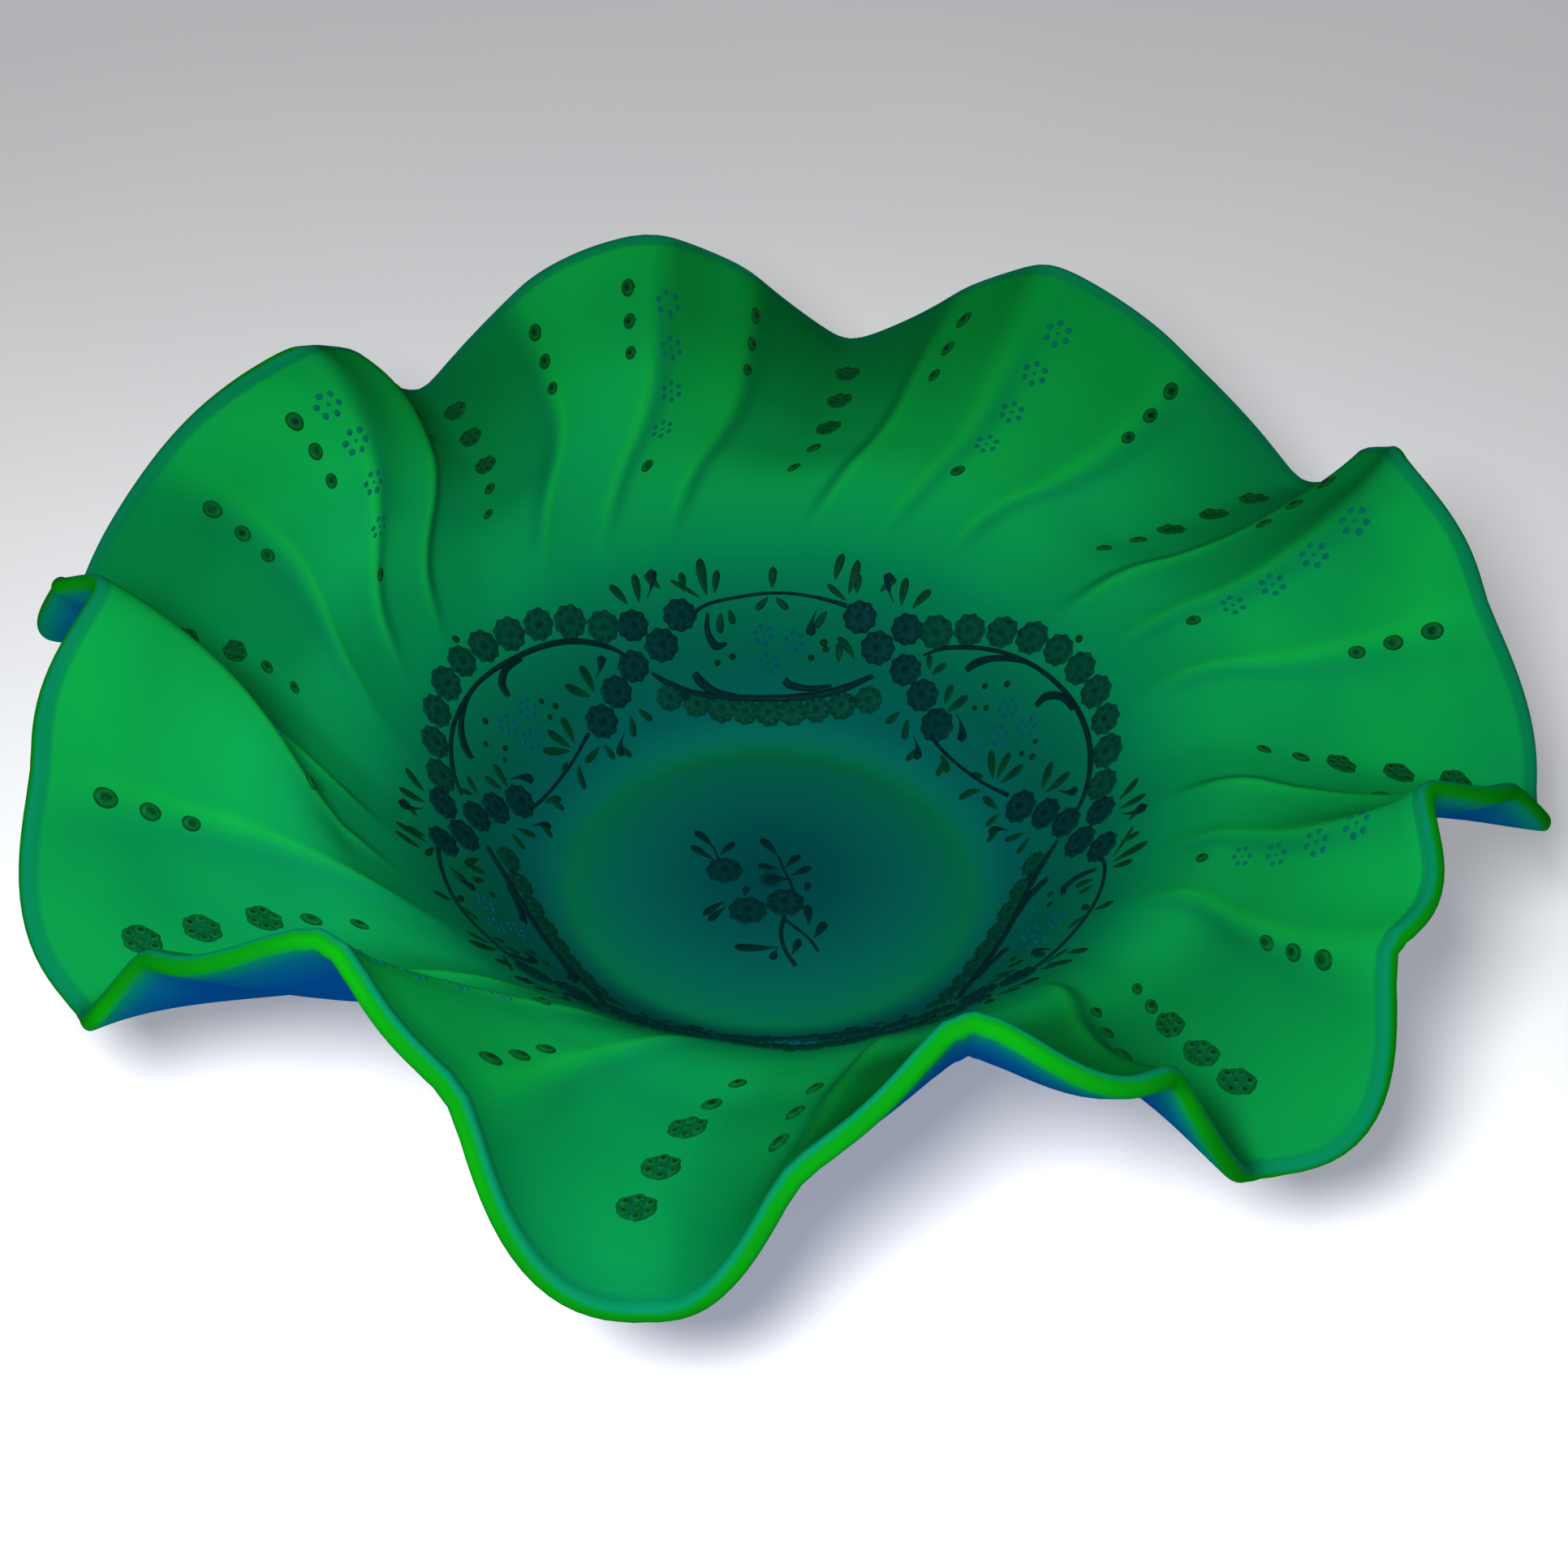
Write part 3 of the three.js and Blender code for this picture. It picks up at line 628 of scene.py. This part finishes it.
INNER_LEAVES = [
    (-0.4, 69.8, 92, 5.4, 2.0, 0), (0.2, 68.8, -50, 4.4, 1.8, 0.2), (-1, 68.8, -130, 4.4, 1.8, -0.2),
    (12, 69, 80, 9.4, 2.4, 0.25), (10.6, 69.4, 100, 6.0, 1.8, 0.1), (13, 68.8, 40, 8.4, 1.2, -0.1),
    (9.6, 66.8, -75, 5.4, 2.1, -0.2), (8, 67.2, -100, 4.0, 1.8, 0),
    (-11.6, 67.2, -55, 5.4, 2.0, -0.3), (-14.8, 69.6, 100, 8.8, 2.1, -0.15), (-12, 71.4, 92, 7.0, 2.0, 0.2),
    (-15, 68.8, 28, 6.2, 1.5, 0.2), (-19, 60, 55, 6.8, 1.9, -0.4), (-15.6, 59, 80, 5.0, 1.8, 0.1),
]
INNER_COMMAS = [(-9.5, 67.2, -65, 6.8, 2.5, -0.6)]
INNER_DOTS = [(8.2, 59.2, 0.85), (11.7, 58.5, 0.75), (-9.3, 59.4, 0.8), (-11.6, 62, 0.95), (-12.3, 61, 0.8)]
INNER_BLUE = [(1.4, 62.6), (-5.3, 61.8), (0.2, 58)]

OUTER_MARKS = (OUTER_LINES, OUTER_LEAVES, OUTER_COMMAS, OUTER_DOTS, OUTER_BLUE)
INNER_MARKS = (INNER_LINES, INNER_LEAVES, INNER_COMMAS, INNER_DOTS, INNER_BLUE)
# Chains of touching blossoms: how many, half their angle, radius at the middle of the chain, how
# much larger the radius is at its ends, and the size of a blossom.
OUTER_CHAIN = (10, 26.4, 74.4, -6.4, 4.05)
INNER_CHAIN = (9, 24.6, 49.8, 4.6, 3.4)

# Marks round a joining bar, from its middle, before it is mirrored for every second joint.
JOINT_LEAVES = [
    (4.6, 69.6, 78, 7.2, 2.0, 0.2), (2.6, 69.8, 110, 6.4, 2.0, 0.2), (9.5, 71, 120, 5.2, 1.9, 0.2),
    (13.5, 70, 80, 5.0, 1.8, 0.2), (-5.6, 54.0, -100, 5.6, 1.9, -0.3), (-3.2, 54.6, -70, 4.8, 1.9, 0.3),
    (4, 56, -40, 5.8, 1.9, 0.4), (-12.2, 50.6, -80, 4.6, 1.8, 0.3),
]
JOINT_COMMAS = [(6, 70, 40, 7.6, 2.4, 0.9), (-8.8, 51.6, -150, 6.2, 2.2, 0.6), (5.5, 55, -35, 5.2, 2.0, 0.4)]
JOINT_BLOSSOMS = [(-13.2, 54.8), (-6.5, 58), (-0.5, 60.8), (6.9, 62.8), (12, 66.8), (2.2, 66.8)]
# Where along its length a mark is widest, and how far it stands up.
LEAF = (0.45, 0.3)
COMMA = (0.72, 0.45)
SPRAY_LEAF = (0.55, 0.3)


def add_leaf(enamel, middle, lean, mark, head, relief):
    """One leaf or comma of a group; a lean of -1 mirrors the group."""
    angle, radius, heading, length, width, bend = mark
    if lean < 0:
        heading, bend = 180 - heading, -bend
    at = wall_spot(middle + lean * angle, radius)
    petal_stroke(enamel, at, heading, length, width, bend, head, relief)


def build_wall_ornament(parts):
    for k in range(CARTOUCHES):
        middle = FIRST_CARTOUCHE + k * CARTOUCHE_PITCH
        outer = k % 2 == 0
        lines, leaves, commas, dots, blue = OUTER_MARKS if outer else INNER_MARKS
        for line in lines:
            brush_line(parts["scrolls"], [(middle + a, r, w) for a, r, w in line], 0.5)
        for mark in leaves:
            add_leaf(parts["leaves"], middle, 1, mark, *LEAF)
        for mark in commas:
            add_leaf(parts["scrolls"], middle, 1, mark, *COMMA)
        for a, r, size in dots:
            dome(parts["drops"], wall_spot(middle + a, r), size, 0.4)
        for a, r in blue:
            dot_flower(parts["blue_drops"], wall_spot(middle + a, r), 2.0, 0.6)
        build_chain(parts["blossoms"], middle, *(OUTER_CHAIN if outer else INNER_CHAIN))
        build_joint(parts, middle + CARTOUCHE_PITCH / 2, 1 if outer else -1)
        if outer:
            dome(parts["drops"], wall_spot(middle + 1, 77.4), 0.95, 0.5, 1.0, True)


def build_chain(enamel, middle, count, half_angle, mid_radius, rise, blossom_size):
    """Touching blossoms along the outside or the inside of a cartouche."""
    for i in range(count):
        s = 2 * i / (count - 1) - 1
        at = wall_spot(middle + half_angle * s, mid_radius + rise * s**2)
        blossom(enamel, at, blossom_size + 0.15 * math.sin(2.3 * i), 0.5, 9, 0.7 * i)


def build_joint(parts, middle, lean):
    """Slanting bar of blossoms between two cartouches, with its leaves."""
    for i, (a, r) in enumerate(JOINT_BLOSSOMS):
        at = wall_spot(middle + lean * a, r)
        blossom(parts["joint_blossoms"], at, 4.05 + 0.15 * math.cos(1.9 * i), 0.66 + 0.03 * i, 9, 0.5 * i)
    for mark in JOINT_LEAVES:
        add_leaf(parts["leaves"], middle, lean, mark, *LEAF)
    for mark in JOINT_COMMAS:
        add_leaf(parts["scrolls"], middle, lean, mark, *COMMA)


# Spray in the well: blossoms [x, y, radius], leaves [x, y, heading, length, width, bend].
SPRAY_BLOSSOMS = [(-9.9, 2.1, 4.1), (-4.5, -9.8, 4.2), (3.2, -7, 4.3)]
SPRAY_STEMS = [
    [(3.2, -11, 1.0), (2.6, -16, 0.9), (3.6, -21, 0.9), (5.9, -25.4, 1.1)],
    [(3.6, -12.4, 0.8), (6, -14.8, 0.7), (8.5, -17.6, 0.7), (10.4, -21, 0.8)],
    [(5, -4, 0.8), (4, -0.4, 0.6), (2.6, 3.4, 0.6), (1.4, 7.2, 0.5)],
    [(-10.6, 4, 0.7), (-11.6, 6.4, 0.6), (-12.6, 9.4, 0.5)],
]
SPRAY_LEAVES = [
    (-12.4, 8.6, 120, 7.2, 2.0, 0.3), (-11.6, 5, 150, 7.4, 2.0, -0.3), (-11.2, 6.4, 62, 5.6, 1.8, -0.2),
    (1.6, 6.5, 118, 7.4, 2.2, 0.2), (2.8, 3.2, 62, 5.6, 1.9, -0.3), (2.4, 3, 172, 5.4, 2.0, -0.2),
    (3.6, 1, 26, 5.8, 2.0, 0.3), (5.4, 0, 178, 6.4, 1.9, 0.1), (7.4, -3.8, 78, 3.2, 1.7, 0),
    (-8.6, -7, -150, 7.0, 1.9, 0.5), (-8.8, -8.6, -132, 6.0, 1.8, 0.2), (-5.3, -5.8, 84, 3.2, 1.7, 0),
    (8.2, -14, 88, 6.6, 2.1, 0.2), (9, -17.6, 56, 6.0, 2.1, 0.3), (3, -20, -170, 10.0, 2.4, -0.25),
    (2, -20.4, -112, 3.6, 1.8, 0.2), (4.6, -22.6, 62, 5.4, 1.8, 0.3),
]


def build_spray(parts):
    for i, (x, y, size) in enumerate(SPRAY_BLOSSOMS):
        blossom(parts["joint_blossoms"], well_spot(x, y), size, 0.6, 8, 0.6 * i)
    for line in SPRAY_STEMS:
        x, y, width = smooth_path(line, 24).T
        angles = np.degrees(np.unwrap(np.arctan2(y, x)))
        brush_line(parts["scrolls"], np.stack([angles, np.hypot(x, y), width], -1), 0.35, 30)
    for x, y, heading, length, width, bend in SPRAY_LEAVES:
        petal_stroke(parts["scrolls"], well_spot(x, y), heading, length, width, bend, *SPRAY_LEAF)


def trough_flower(parts, at, radius):
    """Flower of a trough: a thin disc with six ringed eyes round a smaller one."""
    stretch = 0.95
    r, a = disc_grid(36, 8)
    edge = 0.97 + 0.03 * np.cos(6 * a)
    x = radius * r * edge * np.cos(a)
    y = radius * stretch * r * edge * np.sin(a)
    h = 0.3 * (1 - r**6) - SUNK
    add_disc(parts["trough_discs"], at, x, y, h, 0.25 + 0.6 * bell(r, 0.95, 0.07), 0.3)
    eyes = [(0.0, 0.0, 0.62)]
    for k in range(6):
        a = math.radians(60 * k + 20)
        eyes.append((0.66 * radius * math.cos(a), 0.66 * radius * stretch * math.sin(a), 0.98))
    for x, y, size in eyes:
        dome(parts["eyes"], shifted(at, x, y, 0.22), size, 0.3, 1.1, True)


# Shifts of the flower rows from the trough or crest they follow: degrees at the foot of the row,
# degrees at its rim end, and level.
TROUGH_ROWS = [
    (-1.4, 0, 0), (-2.2, -0.9, 0), (-1.7, -0.5, -0.015), (-1.2, -1.2, 0),
    (-2, 0, 0), (-4, -3, -0.02), (-1.5, -2.2, -0.01), (-1.9, 2.4, -0.005),
]
CREST_ROWS = [
    (-2.6, -1.4, -0.02), (-2.7, -2.7, 0), (-3.9, -1.6, -0.025), (-0.8, 1.6, -0.015),
    (0, -5, 0), (0, 0, 0), (0, 0, 0), (-4.2, -0.6, -0.06),
]
TROUGH_ROW_REACH = {6: 0.9, 7: 0.82}
# Rows of single dots by how far round their ruffle they are; two ruffles have one more row.
DOT_ROWS = [0.24, 0.765]
EXTRA_DOT_ROWS = {2: 0.56, 3: 0.53}
DOT_ROW_SHIFTS = {
    (0, 0.765): (-2.1, 0), (1, 0.24): (0.1, 0.02), (1, 0.765): (-3.5, 0), (2, 0.765): (-0.8, 0),
    (2, 0.56): (-0.4, -0.01), (3, 0.24): (-1.5, 0), (3, 0.53): (2.8, -0.035), (3, 0.765): (0.4, -0.04),
    (4, 0.765): (-0.3, -0.01), (5, 0.765): (-2.9, -0.08), (6, 0.24): (-3.5, -0.19), (6, 0.765): (2, -0.2),
    (7, 0.24): (-0.2, -0.05),
}
# Flower and dot rows of every ruffle: level and size of each mark.
TROUGH_FLOWERS = ((0.85, 3.2), (0.75, 3.15), (0.65, 3.0))
TROUGH_DOTS = ((0.58, 1.5), (0.512, 1.3))
CREST_FLOWERS = ((0.85, 2.45), (0.75, 2.3), (0.655, 2.1), (0.575, 1.95))
CREST_DOT = (0.5, 1.3)
SIDE_DOTS = ((0.88, 1.75), (0.8, 1.55), (0.73, 1.35))
ROW_FOOT = 0.5
ROW_LENGTH = 0.35


def row_spot(turns, level, shift):
    """Place in a flower row that swings as it climbs."""
    foot, rim, lift = shift
    swing = foot + (rim - foot) * (level - ROW_FOOT) / ROW_LENGTH
    return pleat_spot(turns + swing / PITCH, level + lift)


def ringed_dot(parts, at, size, stretch):
    dome(parts["eyes"], at, size, 0.6, stretch, True)


def build_trough_row(parts, k):
    reach = TROUGH_ROW_REACH.get(k, 1)
    for level, size in TROUGH_FLOWERS:
        at = row_spot(k, ROW_FOOT + reach * (level - ROW_FOOT), TROUGH_ROWS[k])
        trough_flower(parts, at, size)
    for level, size in TROUGH_DOTS:
        at = row_spot(k, ROW_FOOT + reach * (level - ROW_FOOT), TROUGH_ROWS[k])
        ringed_dot(parts, at, size, 1.2)


def build_crest_row(parts, k):
    for level, size in CREST_FLOWERS:
        at = row_spot(k + 0.5, level, CREST_ROWS[k])
        dot_flower(parts["teal_drops"], at, size, size * 0.29, 1.1)
    level, size = CREST_DOT
    ringed_dot(parts, row_spot(k + 0.5, level, CREST_ROWS[k]), size, 1.3)


def build_side_rows(parts, k):
    sides = DOT_ROWS + ([EXTRA_DOT_ROWS[k]] if k in EXTRA_DOT_ROWS else [])
    for side in sides:
        swing, lift = DOT_ROW_SHIFTS.get((k, side), (0, 0))
        for level, size in SIDE_DOTS:
            ringed_dot(parts, pleat_spot(k + side + swing / PITCH, level + lift), size, 1.25)


def build_ruffle_rows(parts):
    for k in range(RUFFLES):
        build_trough_row(parts, k)
        build_crest_row(parts, k)
        build_side_rows(parts, k)


# ---- materials --------------------------------------------------------------------------------

class Paint:
    """The shader nodes of one new material, with short ways to add and join them."""

    def __init__(self, name):
        self.material = bpy.data.materials.new(name)
        self.material.use_nodes = True
        self.nodes = self.material.node_tree.nodes
        self.links = self.material.node_tree.links

    def add(self, kind, **settings):
        """New node; each setting is the name of one of its inputs or of a property."""
        node = self.nodes.new(kind)
        for key, value in settings.items():
            if key in node.inputs:
                node.inputs[key].default_value = value
            else:
                setattr(node, key, value)
        return node

    def feed(self, socket, value):
        """Gives an input its value: another node's output, a plain colour or a number."""
        if hasattr(value, "default_value"):
            self.links.new(value, socket)
        elif isinstance(value, tuple) and len(value) == 3:
            socket.default_value = (*value, 1)
        else:
            socket.default_value = value

    def surface(self, values):
        """Sets the inputs of the surface by name and returns the finished material."""
        shader = self.nodes["Principled BSDF"]
        for key, value in values.items():
            self.feed(shader.inputs[key], value)
        return self.material

    def ramp(self, source, stops):
        """Colours through stops, from the lowest place to the highest."""
        node = self.nodes.new("ShaderNodeValToRGB")
        elements = node.color_ramp.elements
        for place, _ in stops[1:-1]:
            elements.new(place)
        for element, (place, colour) in zip(elements, stops):
            element.position = place
            element.color = (*colour, 1)
        self.links.new(source, node.inputs["Fac"])
        return node.outputs["Color"]

    def mix(self, factor, first, second, blend="MIX"):
        """Mixes two colours, whose sockets on a mix node are 6 and 7, with the result at 2."""
        node = self.add("ShaderNodeMix", data_type="RGBA", blend_type=blend)
        for place, value in ((0, factor), (6, first), (7, second)):
            self.feed(node.inputs[place], value)
        return node.outputs[2]

    def map_range(self, source, low, high, to_low=0.0, to_high=1.0):
        limits = {"From Min": low, "From Max": high, "To Min": to_low, "To Max": to_high}
        node = self.add("ShaderNodeMapRange", **limits)
        self.links.new(source, node.inputs["Value"])
        return node.outputs["Result"]

    def product(self, first, second):
        node = self.add("ShaderNodeMath", operation="MULTIPLY")
        self.links.new(first, node.inputs[0])
        self.links.new(second, node.inputs[1])
        return node.outputs["Value"]

    def object_place(self):
        return self.nodes.new("ShaderNodeTexCoord").outputs["Object"]

    def noise(self, scale, detail, distortion=0.0):
        node = self.add("ShaderNodeTexNoise", Scale=scale, Detail=detail, Distortion=distortion)
        self.links.new(self.object_place(), node.inputs["Vector"])
        return node.outputs["Fac"]

    def attribute(self, name):
        """Value that the mesh gives for each of its points."""
        return self.add("ShaderNodeAttribute", attribute_name=name).outputs["Fac"]

    def axis_distance(self):
        """Distance from the bowl's axis, in metres."""
        flatten = self.add("ShaderNodeVectorMath", operation="MULTIPLY")
        flatten.inputs[1].default_value = (1, 1, 0)
        length = self.add("ShaderNodeVectorMath", operation="LENGTH")
        self.links.new(self.object_place(), flatten.inputs[0])
        self.links.new(flatten.outputs["Vector"], length.inputs[0])
        return length.outputs["Value"]

    def bump(self, height, strength, distance):
        node = self.add("ShaderNodeBump", Strength=strength, Distance=distance)
        self.links.new(height, node.inputs["Height"])
        return node.outputs["Normal"]


def glass_surface(paint, colour, painted_glow, smooth_glass, dull_glass):
    """Glowing solid glass: the glow is painted, standing for its fluorescence under ultraviolet light, and
    its polish is uneven.

    Under the ultraviolet light the glow drowns all reflections, so there are none.
    """
    smears = paint.noise(22, 4, 0.6)
    return paint.surface({
        "Base Color": colour,
        "Emission Color": colour,
        # Painted glow: the emission stands for the fluorescence under ultraviolet light.
        "Emission Strength": painted_glow,
        "IOR": 1.5,
        "Specular IOR Level": 0,
        "Roughness": paint.map_range(smears, 0.3, 0.7, smooth_glass, dull_glass),
        "Normal": paint.bump(paint.noise(30, 2), 0.12, 0.002),
    })


# Colours of the lining from its axis to this distance in metres, where the place is 1.
LINING_REACH = 0.15
# The darker, bluer centre of the well is painted shade, and the bright band at the well's edge, near 0.28,
# is a painted highlight on its curve.
LINING_BY_RADIUS = [
    (0.0, (0.0005, 0.037, 0.043)), (0.1, (0.0006, 0.052, 0.051)), (0.19, (0.001, 0.076, 0.058)),
    (0.25, (0.001, 0.092, 0.05)), (0.28, (0.001, 0.1, 0.042)), (0.31, (0.001, 0.09, 0.067)),
    (0.335, (0.0007, 0.068, 0.062)), (0.4, (0.0006, 0.07, 0.044)), (0.45, (0.0008, 0.093, 0.047)),
    (0.52, (0.001, 0.155, 0.053)), (0.6, (0.002, 0.19, 0.052)), (0.7, (0.002, 0.185, 0.038)),
    (0.8, (0.002, 0.205, 0.034)), (0.9, (0.002, 0.21, 0.038)), (1.0, (0.002, 0.17, 0.047)),
]
# What each value of the lining's mesh does to its colour, how strongly and towards which colour: painted
# shade in the troughs and beside the folds, and a painted highlight along the fold edges.
LINING_TINTS = {
    "trough": (0.3, (0.0006, 0.085, 0.04)),
    "shade": (0.45, (0.0008, 0.095, 0.045)),
    "painted_glow": (0.45, (0.004, 0.27, 0.024)),
}


def lining_material():
    paint = Paint("uranium_lining_glass")
    distance = paint.axis_distance()
    by_radius = paint.ramp(paint.map_range(distance, 0.0, LINING_REACH), LINING_BY_RADIUS)
    clouds = paint.map_range(paint.noise(13, 3, 0.5), 0.38, 0.64)
    cloudy = paint.mix(clouds, (0.001, 0.15, 0.042), (0.003, 0.27, 0.036))
    ruffled = paint.map_range(distance, 0.075, 0.095, 0.0, 0.5)
    body = paint.mix(ruffled, by_radius, cloudy)
    # Painted shade in the troughs and beside the folds, and a painted highlight along the fold edges.
    for name, (strength, tint) in LINING_TINTS.items():
        body = paint.mix(paint.map_range(paint.attribute(name), 0, 1, 0.0, strength), body, tint)
    # Painted light and shade of each face, and near the rim of each ruffle.
    body = paint.mix(1.0, body, paint.attribute("tone"), "MULTIPLY")
    band = paint.map_range(paint.attribute("level"), 0.98, 0.99, 0.0, 0.7)
    return glass_surface(paint, paint.mix(band, body, RIM_TEAL), 0.14, 0.35, 0.5)


def casing_material():
    paint = Paint("outer_casing_glass")
    clouds = paint.ramp(paint.noise(14, 4, 0.5), [
        (0.3, (0.0003, 0.02, 0.1)), (0.5, CASING_BLUE), (0.7, (0.0006, 0.031, 0.14)),
    ])
    # Teal and lighter near the rim: partly the colour the glass shows by the bead, partly painted light that
    # gives the casing a rounded look.
    near_rim = paint.ramp(paint.attribute("level"), [
        (0.0, (0, 0, 0)), (0.86, (0, 0, 0)), (0.95, (0.3, 0.3, 0.3)), (1.0, (1, 1, 1)),
    ])
    colour = paint.mix(near_rim, clouds, (0.0005, 0.1, 0.06))
    return glass_surface(paint, colour, 0.5, 0.25, 0.35)


def rim_material():
    paint = Paint("rim_bead_glass")
    depth = paint.attribute("depth")
    across = paint.ramp(depth, [
        (0.0, RIM_TEAL), (0.14, (0.001, 0.11, 0.045)), (0.34, BEAD_GREEN), (0.9, BEAD_GREEN),
        (1.0, (0.001, 0.1, 0.05)),
    ])
    # Painted highlights: brighter streaks along the crown of the bead.
    highlight_streaks = paint.map_range(paint.noise(22, 2), 0.45, 0.7, 0.0, 0.7)
    middle = paint.map_range(depth, 0.3, 0.6)
    colour = paint.mix(paint.product(highlight_streaks, middle), across, (0.002, 0.2, 0.002))
    return glass_surface(paint, colour, 0.35, 0.25, 0.35)


def enamel_material(name, light, dark):
    """Fired enamel: grainy colour between two tones, matt with slightly glossy spots."""
    paint = Paint(name)
    grain = paint.map_range(paint.noise(900, 3), 0.35, 0.75, 0.0, 0.4)
    by_tone = paint.mix(paint.attribute("tone"), light, dark)
    colour = paint.mix(grain, by_tone, tuple(c * 1.5 for c in light))
    return paint.surface({
        "Base Color": colour,
        # A faint painted glow in the enamel's own colour.
        "Emission Color": colour,
        "Emission Strength": 0.1,
        "Specular IOR Level": 0.05,
        "Specular Tint": (0.12, 0.5, 0.45),
        "Roughness": paint.map_range(paint.noise(500, 3), 0.3, 0.7, 0.35, 0.6),
        "Normal": paint.bump(paint.noise(700, 3), 0.3, 0.0002),
    })


def floor_material():
    paint = Paint("pale_floor")
    tone = paint.ramp(paint.noise(3, 2), [(0.3, (0.8, 0.81, 0.83)), (0.7, (0.84, 0.85, 0.86))])
    return paint.surface({
        "Base Color": tone,
        "Emission Color": tone,
        "Emission Strength": 0.35,
        "Roughness": 0.7,
        "Specular IOR Level": 0.2,
    })


# Each kind of enamel: its slot, and the light and the dark colour of its marks.
LOOKS = {
    "scrolls": ("dark_enamel", (0.0005, 0.016, 0.014), (0.0004, 0.008, 0.01)),
    "leaves": ("dark_enamel", (0.0005, 0.03, 0.012), (0.0004, 0.014, 0.008)),
    "blossoms": ("dark_enamel", (0.0006, 0.044, 0.025), (0.0004, 0.008, 0.008)),
    "joint_blossoms": ("dark_enamel", (0.0004, 0.026, 0.024), (0.0003, 0.006, 0.009)),
    "drops": ("brown_enamel", (0.0008, 0.03, 0.008), (0.0006, 0.016, 0.004)),
    "blue_drops": ("dark_enamel", (0.0008, 0.075, 0.08), (0.0008, 0.045, 0.085)),
    "teal_drops": ("dark_enamel", (0.0008, 0.105, 0.062), (0.0007, 0.075, 0.06)),
    "eyes": ("brown_enamel", (0.001, 0.075, 0.014), (0.0006, 0.007, 0.002)),
    "trough_discs": ("brown_enamel", (0.0008, 0.058, 0.022), (0.0006, 0.018, 0.009)),
}


# ---- stage ------------------------------------------------------------------------------------

# The photograph's viewing angle: degrees down and degrees of roll, with the camera in metres.
CAMERA_PITCH = 40.58
CAMERA_ROLL = 2.15
CAMERA_PLACE = (0.0021, -0.2956, 0.2866)
CAMERA_LENS = 44.03
CAMERA_SHIFT = 0.0026

# Round lights that face the bowl: name, place, diameter and power.
LIGHTS = [
    ("key", (-0.04, -0.27, 0.31), 0.08, 2.2),
    ("left", (-0.9, 0.5, 0.6), 0.8, 0.3),
    ("right", (0.9, 0.6, 0.6), 0.8, 0.3),
]
LIGHT_TARGET = (0, 0, 0.04)
FLOOR_REACH = 4.0


def place_camera():
    pitch, roll = math.radians(CAMERA_PITCH), math.radians(CAMERA_ROLL)
    ahead = Vector((0, math.cos(pitch), -math.sin(pitch)))
    level_up = Vector((0, math.sin(pitch), math.cos(pitch)))
    right = Vector((1, 0, 0)) * math.cos(roll) + level_up * math.sin(roll)
    up = level_up * math.cos(roll) - Vector((1, 0, 0)) * math.sin(roll)
    data = bpy.data.cameras.new("camera")
    data.sensor_width = 36
    data.lens = CAMERA_LENS
    data.shift_y = CAMERA_SHIFT
    data.clip_start = 0.01
    camera = bpy.data.objects.new("camera", data)
    turn = Matrix((right, up, -ahead)).transposed().to_4x4()
    camera.matrix_world = Matrix.Translation(Vector(CAMERA_PLACE)) @ turn
    bpy.context.scene.collection.objects.link(camera)
    bpy.context.scene.camera = camera


def place_light(name, place, diameter, power):
    data = bpy.data.lights.new(name, "AREA")
    data.shape = "DISK"
    data.size = diameter
    data.energy = power
    light = bpy.data.objects.new(name, data)
    light.location = place
    aim = Vector(LIGHT_TARGET) - Vector(place)
    light.rotation_euler = aim.to_track_quat("-Z", "Y").to_euler()
    bpy.context.scene.collection.objects.link(light)


def build_floor():
    mesh = bpy.data.meshes.new("floor")
    r = FLOOR_REACH
    mesh.from_pydata([(-r, -r, 0), (r, -r, 0), (r, r, 0), (-r, r, 0)], [], [(0, 1, 2, 3)])
    mesh.materials.append(floor_material())
    floor = bpy.data.objects.new("floor", mesh)
    bpy.context.scene.collection.objects.link(floor)


def build_stage():
    build_floor()
    for light in LIGHTS:
        place_light(*light)
    world = bpy.data.worlds.new("studio")
    world.use_nodes = True
    background = world.node_tree.nodes["Background"]
    background.inputs["Color"].default_value = (0.86, 0.89, 0.93, 1)
    background.inputs["Strength"].default_value = 0.1
    bpy.context.scene.world = world
    bpy.context.scene.view_settings.view_transform = "Standard"


# ---- build ------------------------------------------------------------------------------------

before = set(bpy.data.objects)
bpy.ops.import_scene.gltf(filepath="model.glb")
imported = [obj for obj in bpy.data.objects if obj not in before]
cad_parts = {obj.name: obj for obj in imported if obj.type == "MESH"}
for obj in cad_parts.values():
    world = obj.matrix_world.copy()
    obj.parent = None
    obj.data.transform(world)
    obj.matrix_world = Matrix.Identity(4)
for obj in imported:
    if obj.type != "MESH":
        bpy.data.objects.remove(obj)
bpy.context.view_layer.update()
place_camera()
build_stage()

lining = build_lining(lining_material())
casing = build_casing(casing_material())
rim = build_rim(rim_material())
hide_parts("uranium_lining")
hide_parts("outer_casing")
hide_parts("rim_bead")

parts = {key: Enamel() for key in LOOKS}
build_wall_ornament(parts)
build_spray(parts)
build_ruffle_rows(parts)
for key, shapes in parts.items():
    slot, light, dark = LOOKS[key]
    shapes.build("enamel_" + key, enamel_material("enamel_" + key, light, dark))

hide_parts(*(f"blossom_chain_{k}" for k in range(1, 7)))
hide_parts(*(f"cartouche_frame_{k}" for k in range(1, 7)), "spray_stem")
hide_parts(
    *(f"joining_bar_{k}" for k in range(1, 7)),
    *(f"spray_blossom_{k}" for k in range(1, 4)),
)
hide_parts(*(f"trough_flower_{k}_{i}" for k in range(1, 9) for i in range(1, 4)))
